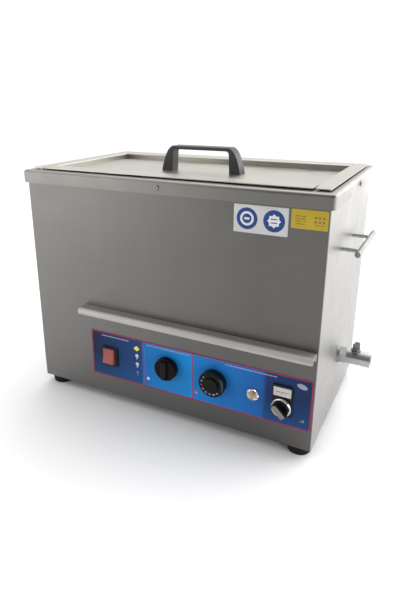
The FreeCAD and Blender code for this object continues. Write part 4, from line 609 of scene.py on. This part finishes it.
inlay("timer_inlay", [(TX - 2.9, TZ - 13.0), (TX + 2.9, TZ - 13.0), (TX + 3.7, TZ - 6.4), (TX + 3.7, TZ + 6.4), (TX + 2.9, TZ + 13.0),
                      (TX - 2.9, TZ + 13.0), (TX - 3.7, TZ + 6.4), (TX - 3.7, TZ - 6.4)], KNOB - 14.0, 0.35, BLACK_KNOB, "timer")
# painted highlight: grey plate for the lit face of the black bar
inlay("selector_painted_sheen", spin([(CX - 3.9, CZ - 10.6), (CX + 3.9, CZ - 10.6), (CX + 3.9, CZ + 8.7), (CX + 2.1, CZ + 11.4), (CX - 2.1, CZ + 11.4), (CX - 3.9, CZ + 8.7)], CX, CZ, 45),
      FILM - 1.6 - 17.4, 0.4, SHEEN_TAUPE, "selector")


def lathe(name, prof, centre, axis, mat, body, n=48, bumps=0, lift=0.0):
    """Turned ring: prof is a closed outline of (radius, height) in mm, height along axis; bumps waves the outline."""
    axis = Vector(axis)
    u = axis.orthogonal().normalized()
    v = axis.cross(u)
    c0 = P(*centre)
    bm = bmesh.new()
    rows = []
    for i in range(n):
        a = 2 * math.pi * i / n
        k = 1.0 if bumps and i % 2 else 0.0
        rows.append([bm.verts.new(c0 + ((u * math.cos(a) + v * math.sin(a)) * (rr - lift * k * w) + axis * h) / 1000.0) for rr, h, w in prof])
    m = len(prof)
    for i in range(n):
        p0, p1 = rows[i], rows[(i + 1) % n]
        for j in range(m):
            bm.faces.new((p0[j], p1[j], p1[(j + 1) % m], p0[(j + 1) % m]))
    bmesh.ops.recalc_face_normals(bm, faces=bm.faces)
    return piece(name, bm, mat, body, smooth=not bumps)


# knurled collar of the pilot lamp
lathe("lamp_knurl", [(7.4, 3.0, 0), (8.6, 2.9, 1), (9.7, 1.9, 1), (9.7, 0.2, 1), (7.4, 0.2, 0)], (LX, FILM, LZ), (0, -1, 0), CHROME, "root", n=72, bumps=1, lift=0.55)
# thread crests inside the drain outlet
for k in range(5):
    h = 11.2 - 2.1 * k
    lathe("outlet_thread_%d" % k, [(9.5, h + 0.8, 0), (8.75, h, 0), (9.5, h - 0.8, 0)], (276.8, 4.0, 85.0), (1, 0, 0), NICKEL, "root", n=40)
# gland ring round the valve's neck
lathe("valve_gland", [(5.9, 12.4, 0), (7.6, 12.4, 0), (8.0, 12.8, 0), (8.0, 13.9, 0), (7.6, 14.3, 0), (5.9, 14.3, 0)], (266.0, 4.0, 85.0), (0, 0, 1), ZINC, "root", n=6)

# ---------------------------------------------------------------------------
# Floor and light
# ---------------------------------------------------------------------------
floor_mat = Mat("pale_floor")
n = floor_mat.noise(3.0, 4.0, 0.5)
floor_mat.link(floor_mat.ramp(n, [(0.3, (0.90, 0.90, 0.905)), (0.7, (0.92, 0.92, 0.925))]), "Base Color")
floor_mat.link(floor_mat.span(n, 0.3, 0.7, 0.65, 0.75), "Roughness")
bm = bmesh.new()
for x, y in ((-30, -30), (30, -30), (30, 30), (-30, 30)):
    bm.verts.new((x, y, 0.0))
bm.faces.new(bm.verts)
mesh = bpy.data.meshes.new("floor")
bm.to_mesh(mesh)
bm.free()
mesh.materials.append(floor_mat.mat)
floor = bpy.data.objects.new("floor", mesh)
bpy.context.scene.collection.objects.link(floor)


def area(name, pos, aim, size, power, colour=(1, 1, 1)):
    d = bpy.data.lights.new(name, "AREA")
    d.shape = "RECTANGLE"
    d.size, d.size_y = size
    d.energy = power
    d.color = colour
    o = bpy.data.objects.new(name, d)
    bpy.context.scene.collection.objects.link(o)
    o.location = pos
    o.rotation_euler = (Vector(aim) - Vector(pos)).to_track_quat("-Z", "Y").to_euler()
    return o


area("right_key", (1.7, 0.9, 0.9), (0.25, 0.0, 0.15), (1.6, 1.8), 20.0)
area("right_back", (0.62, 1.95, 0.50), (0.24, 0.0, 0.22), (1.0, 0.9), 6.5)
area("left_low", (-1.65, -1.75, 0.50), (-0.15, -0.14, 0.25), (1.3, 0.8), 10.0, (1.0, 0.985, 0.96))
area("right_edge", (1.75, -0.95, 0.40), (0.24, -0.14, 0.2), (0.6, 0.9), 9.0)
area("front_fill", (-1.3, -1.3, 1.9), (-0.1, -0.1, 0.2), (1.8, 1.4), 7.0, (1.0, 0.99, 0.975))
area("overhead", (-0.2, 0.7, 2.1), (0.0, 0.1, 0.3), (2.2, 1.8), 10.0, (1.0, 0.985, 0.955))
sun_data = bpy.data.lights.new("soft_sun", "SUN")
sun_data.energy = 1.15
sun_data.angle = 1.2
sun = bpy.data.objects.new("soft_sun", sun_data)
bpy.context.scene.collection.objects.link(sun)
sun.rotation_euler = Vector((-0.35, -0.75, -1.3)).to_track_quat("-Z", "Y").to_euler()
world = bpy.data.worlds.new("studio")
world.use_nodes = True
wt = world.node_tree
bg = wt.nodes["Background"]
bg.inputs["Strength"].default_value = 1.0
tc = wt.nodes.new("ShaderNodeTexCoord")
sep = wt.nodes.new("ShaderNodeSeparateXYZ")
wt.links.new(tc.outputs["Generated"], sep.inputs[0])
lean = wt.nodes.new("ShaderNodeMath")
lean.operation = "MULTIPLY_ADD"
wt.links.new(sep.outputs[0], lean.inputs[0])
lean.inputs[1].default_value = -0.55
wt.links.new(sep.outputs[1], lean.inputs[2])
wr = wt.nodes.new("ShaderNodeMapRange")
wr.interpolation_type = "SMOOTHSTEP"
for k, v in (("From Min", -0.90), ("From Max", 0.05), ("To Min", 0.0), ("To Max", 1.0)):
    wr.inputs[k].default_value = v
wt.links.new(lean.outputs[0], wr.inputs["Value"])
wm = wt.nodes.new("ShaderNodeMix")
wm.data_type = "RGBA"
wm.inputs[6].default_value = (0.11, 0.115, 0.125, 1.0)
wm.inputs[7].default_value = (1.10, 1.10, 1.10, 1.0)
wt.links.new(wr.outputs["Result"], wm.inputs[0])
seen = wt.nodes.new("ShaderNodeLightPath")
plain = wt.nodes.new("ShaderNodeMix")
plain.data_type = "RGBA"
plain.inputs[7].default_value = (1.10, 1.10, 1.10, 1.0)
wt.links.new(seen.outputs["Is Camera Ray"], plain.inputs[0])
wt.links.new(wm.outputs[2], plain.inputs[6])
wt.links.new(plain.outputs[2], bg.inputs["Color"])
bpy.context.scene.world = world
bpy.context.scene.view_settings.view_transform = "Standard"
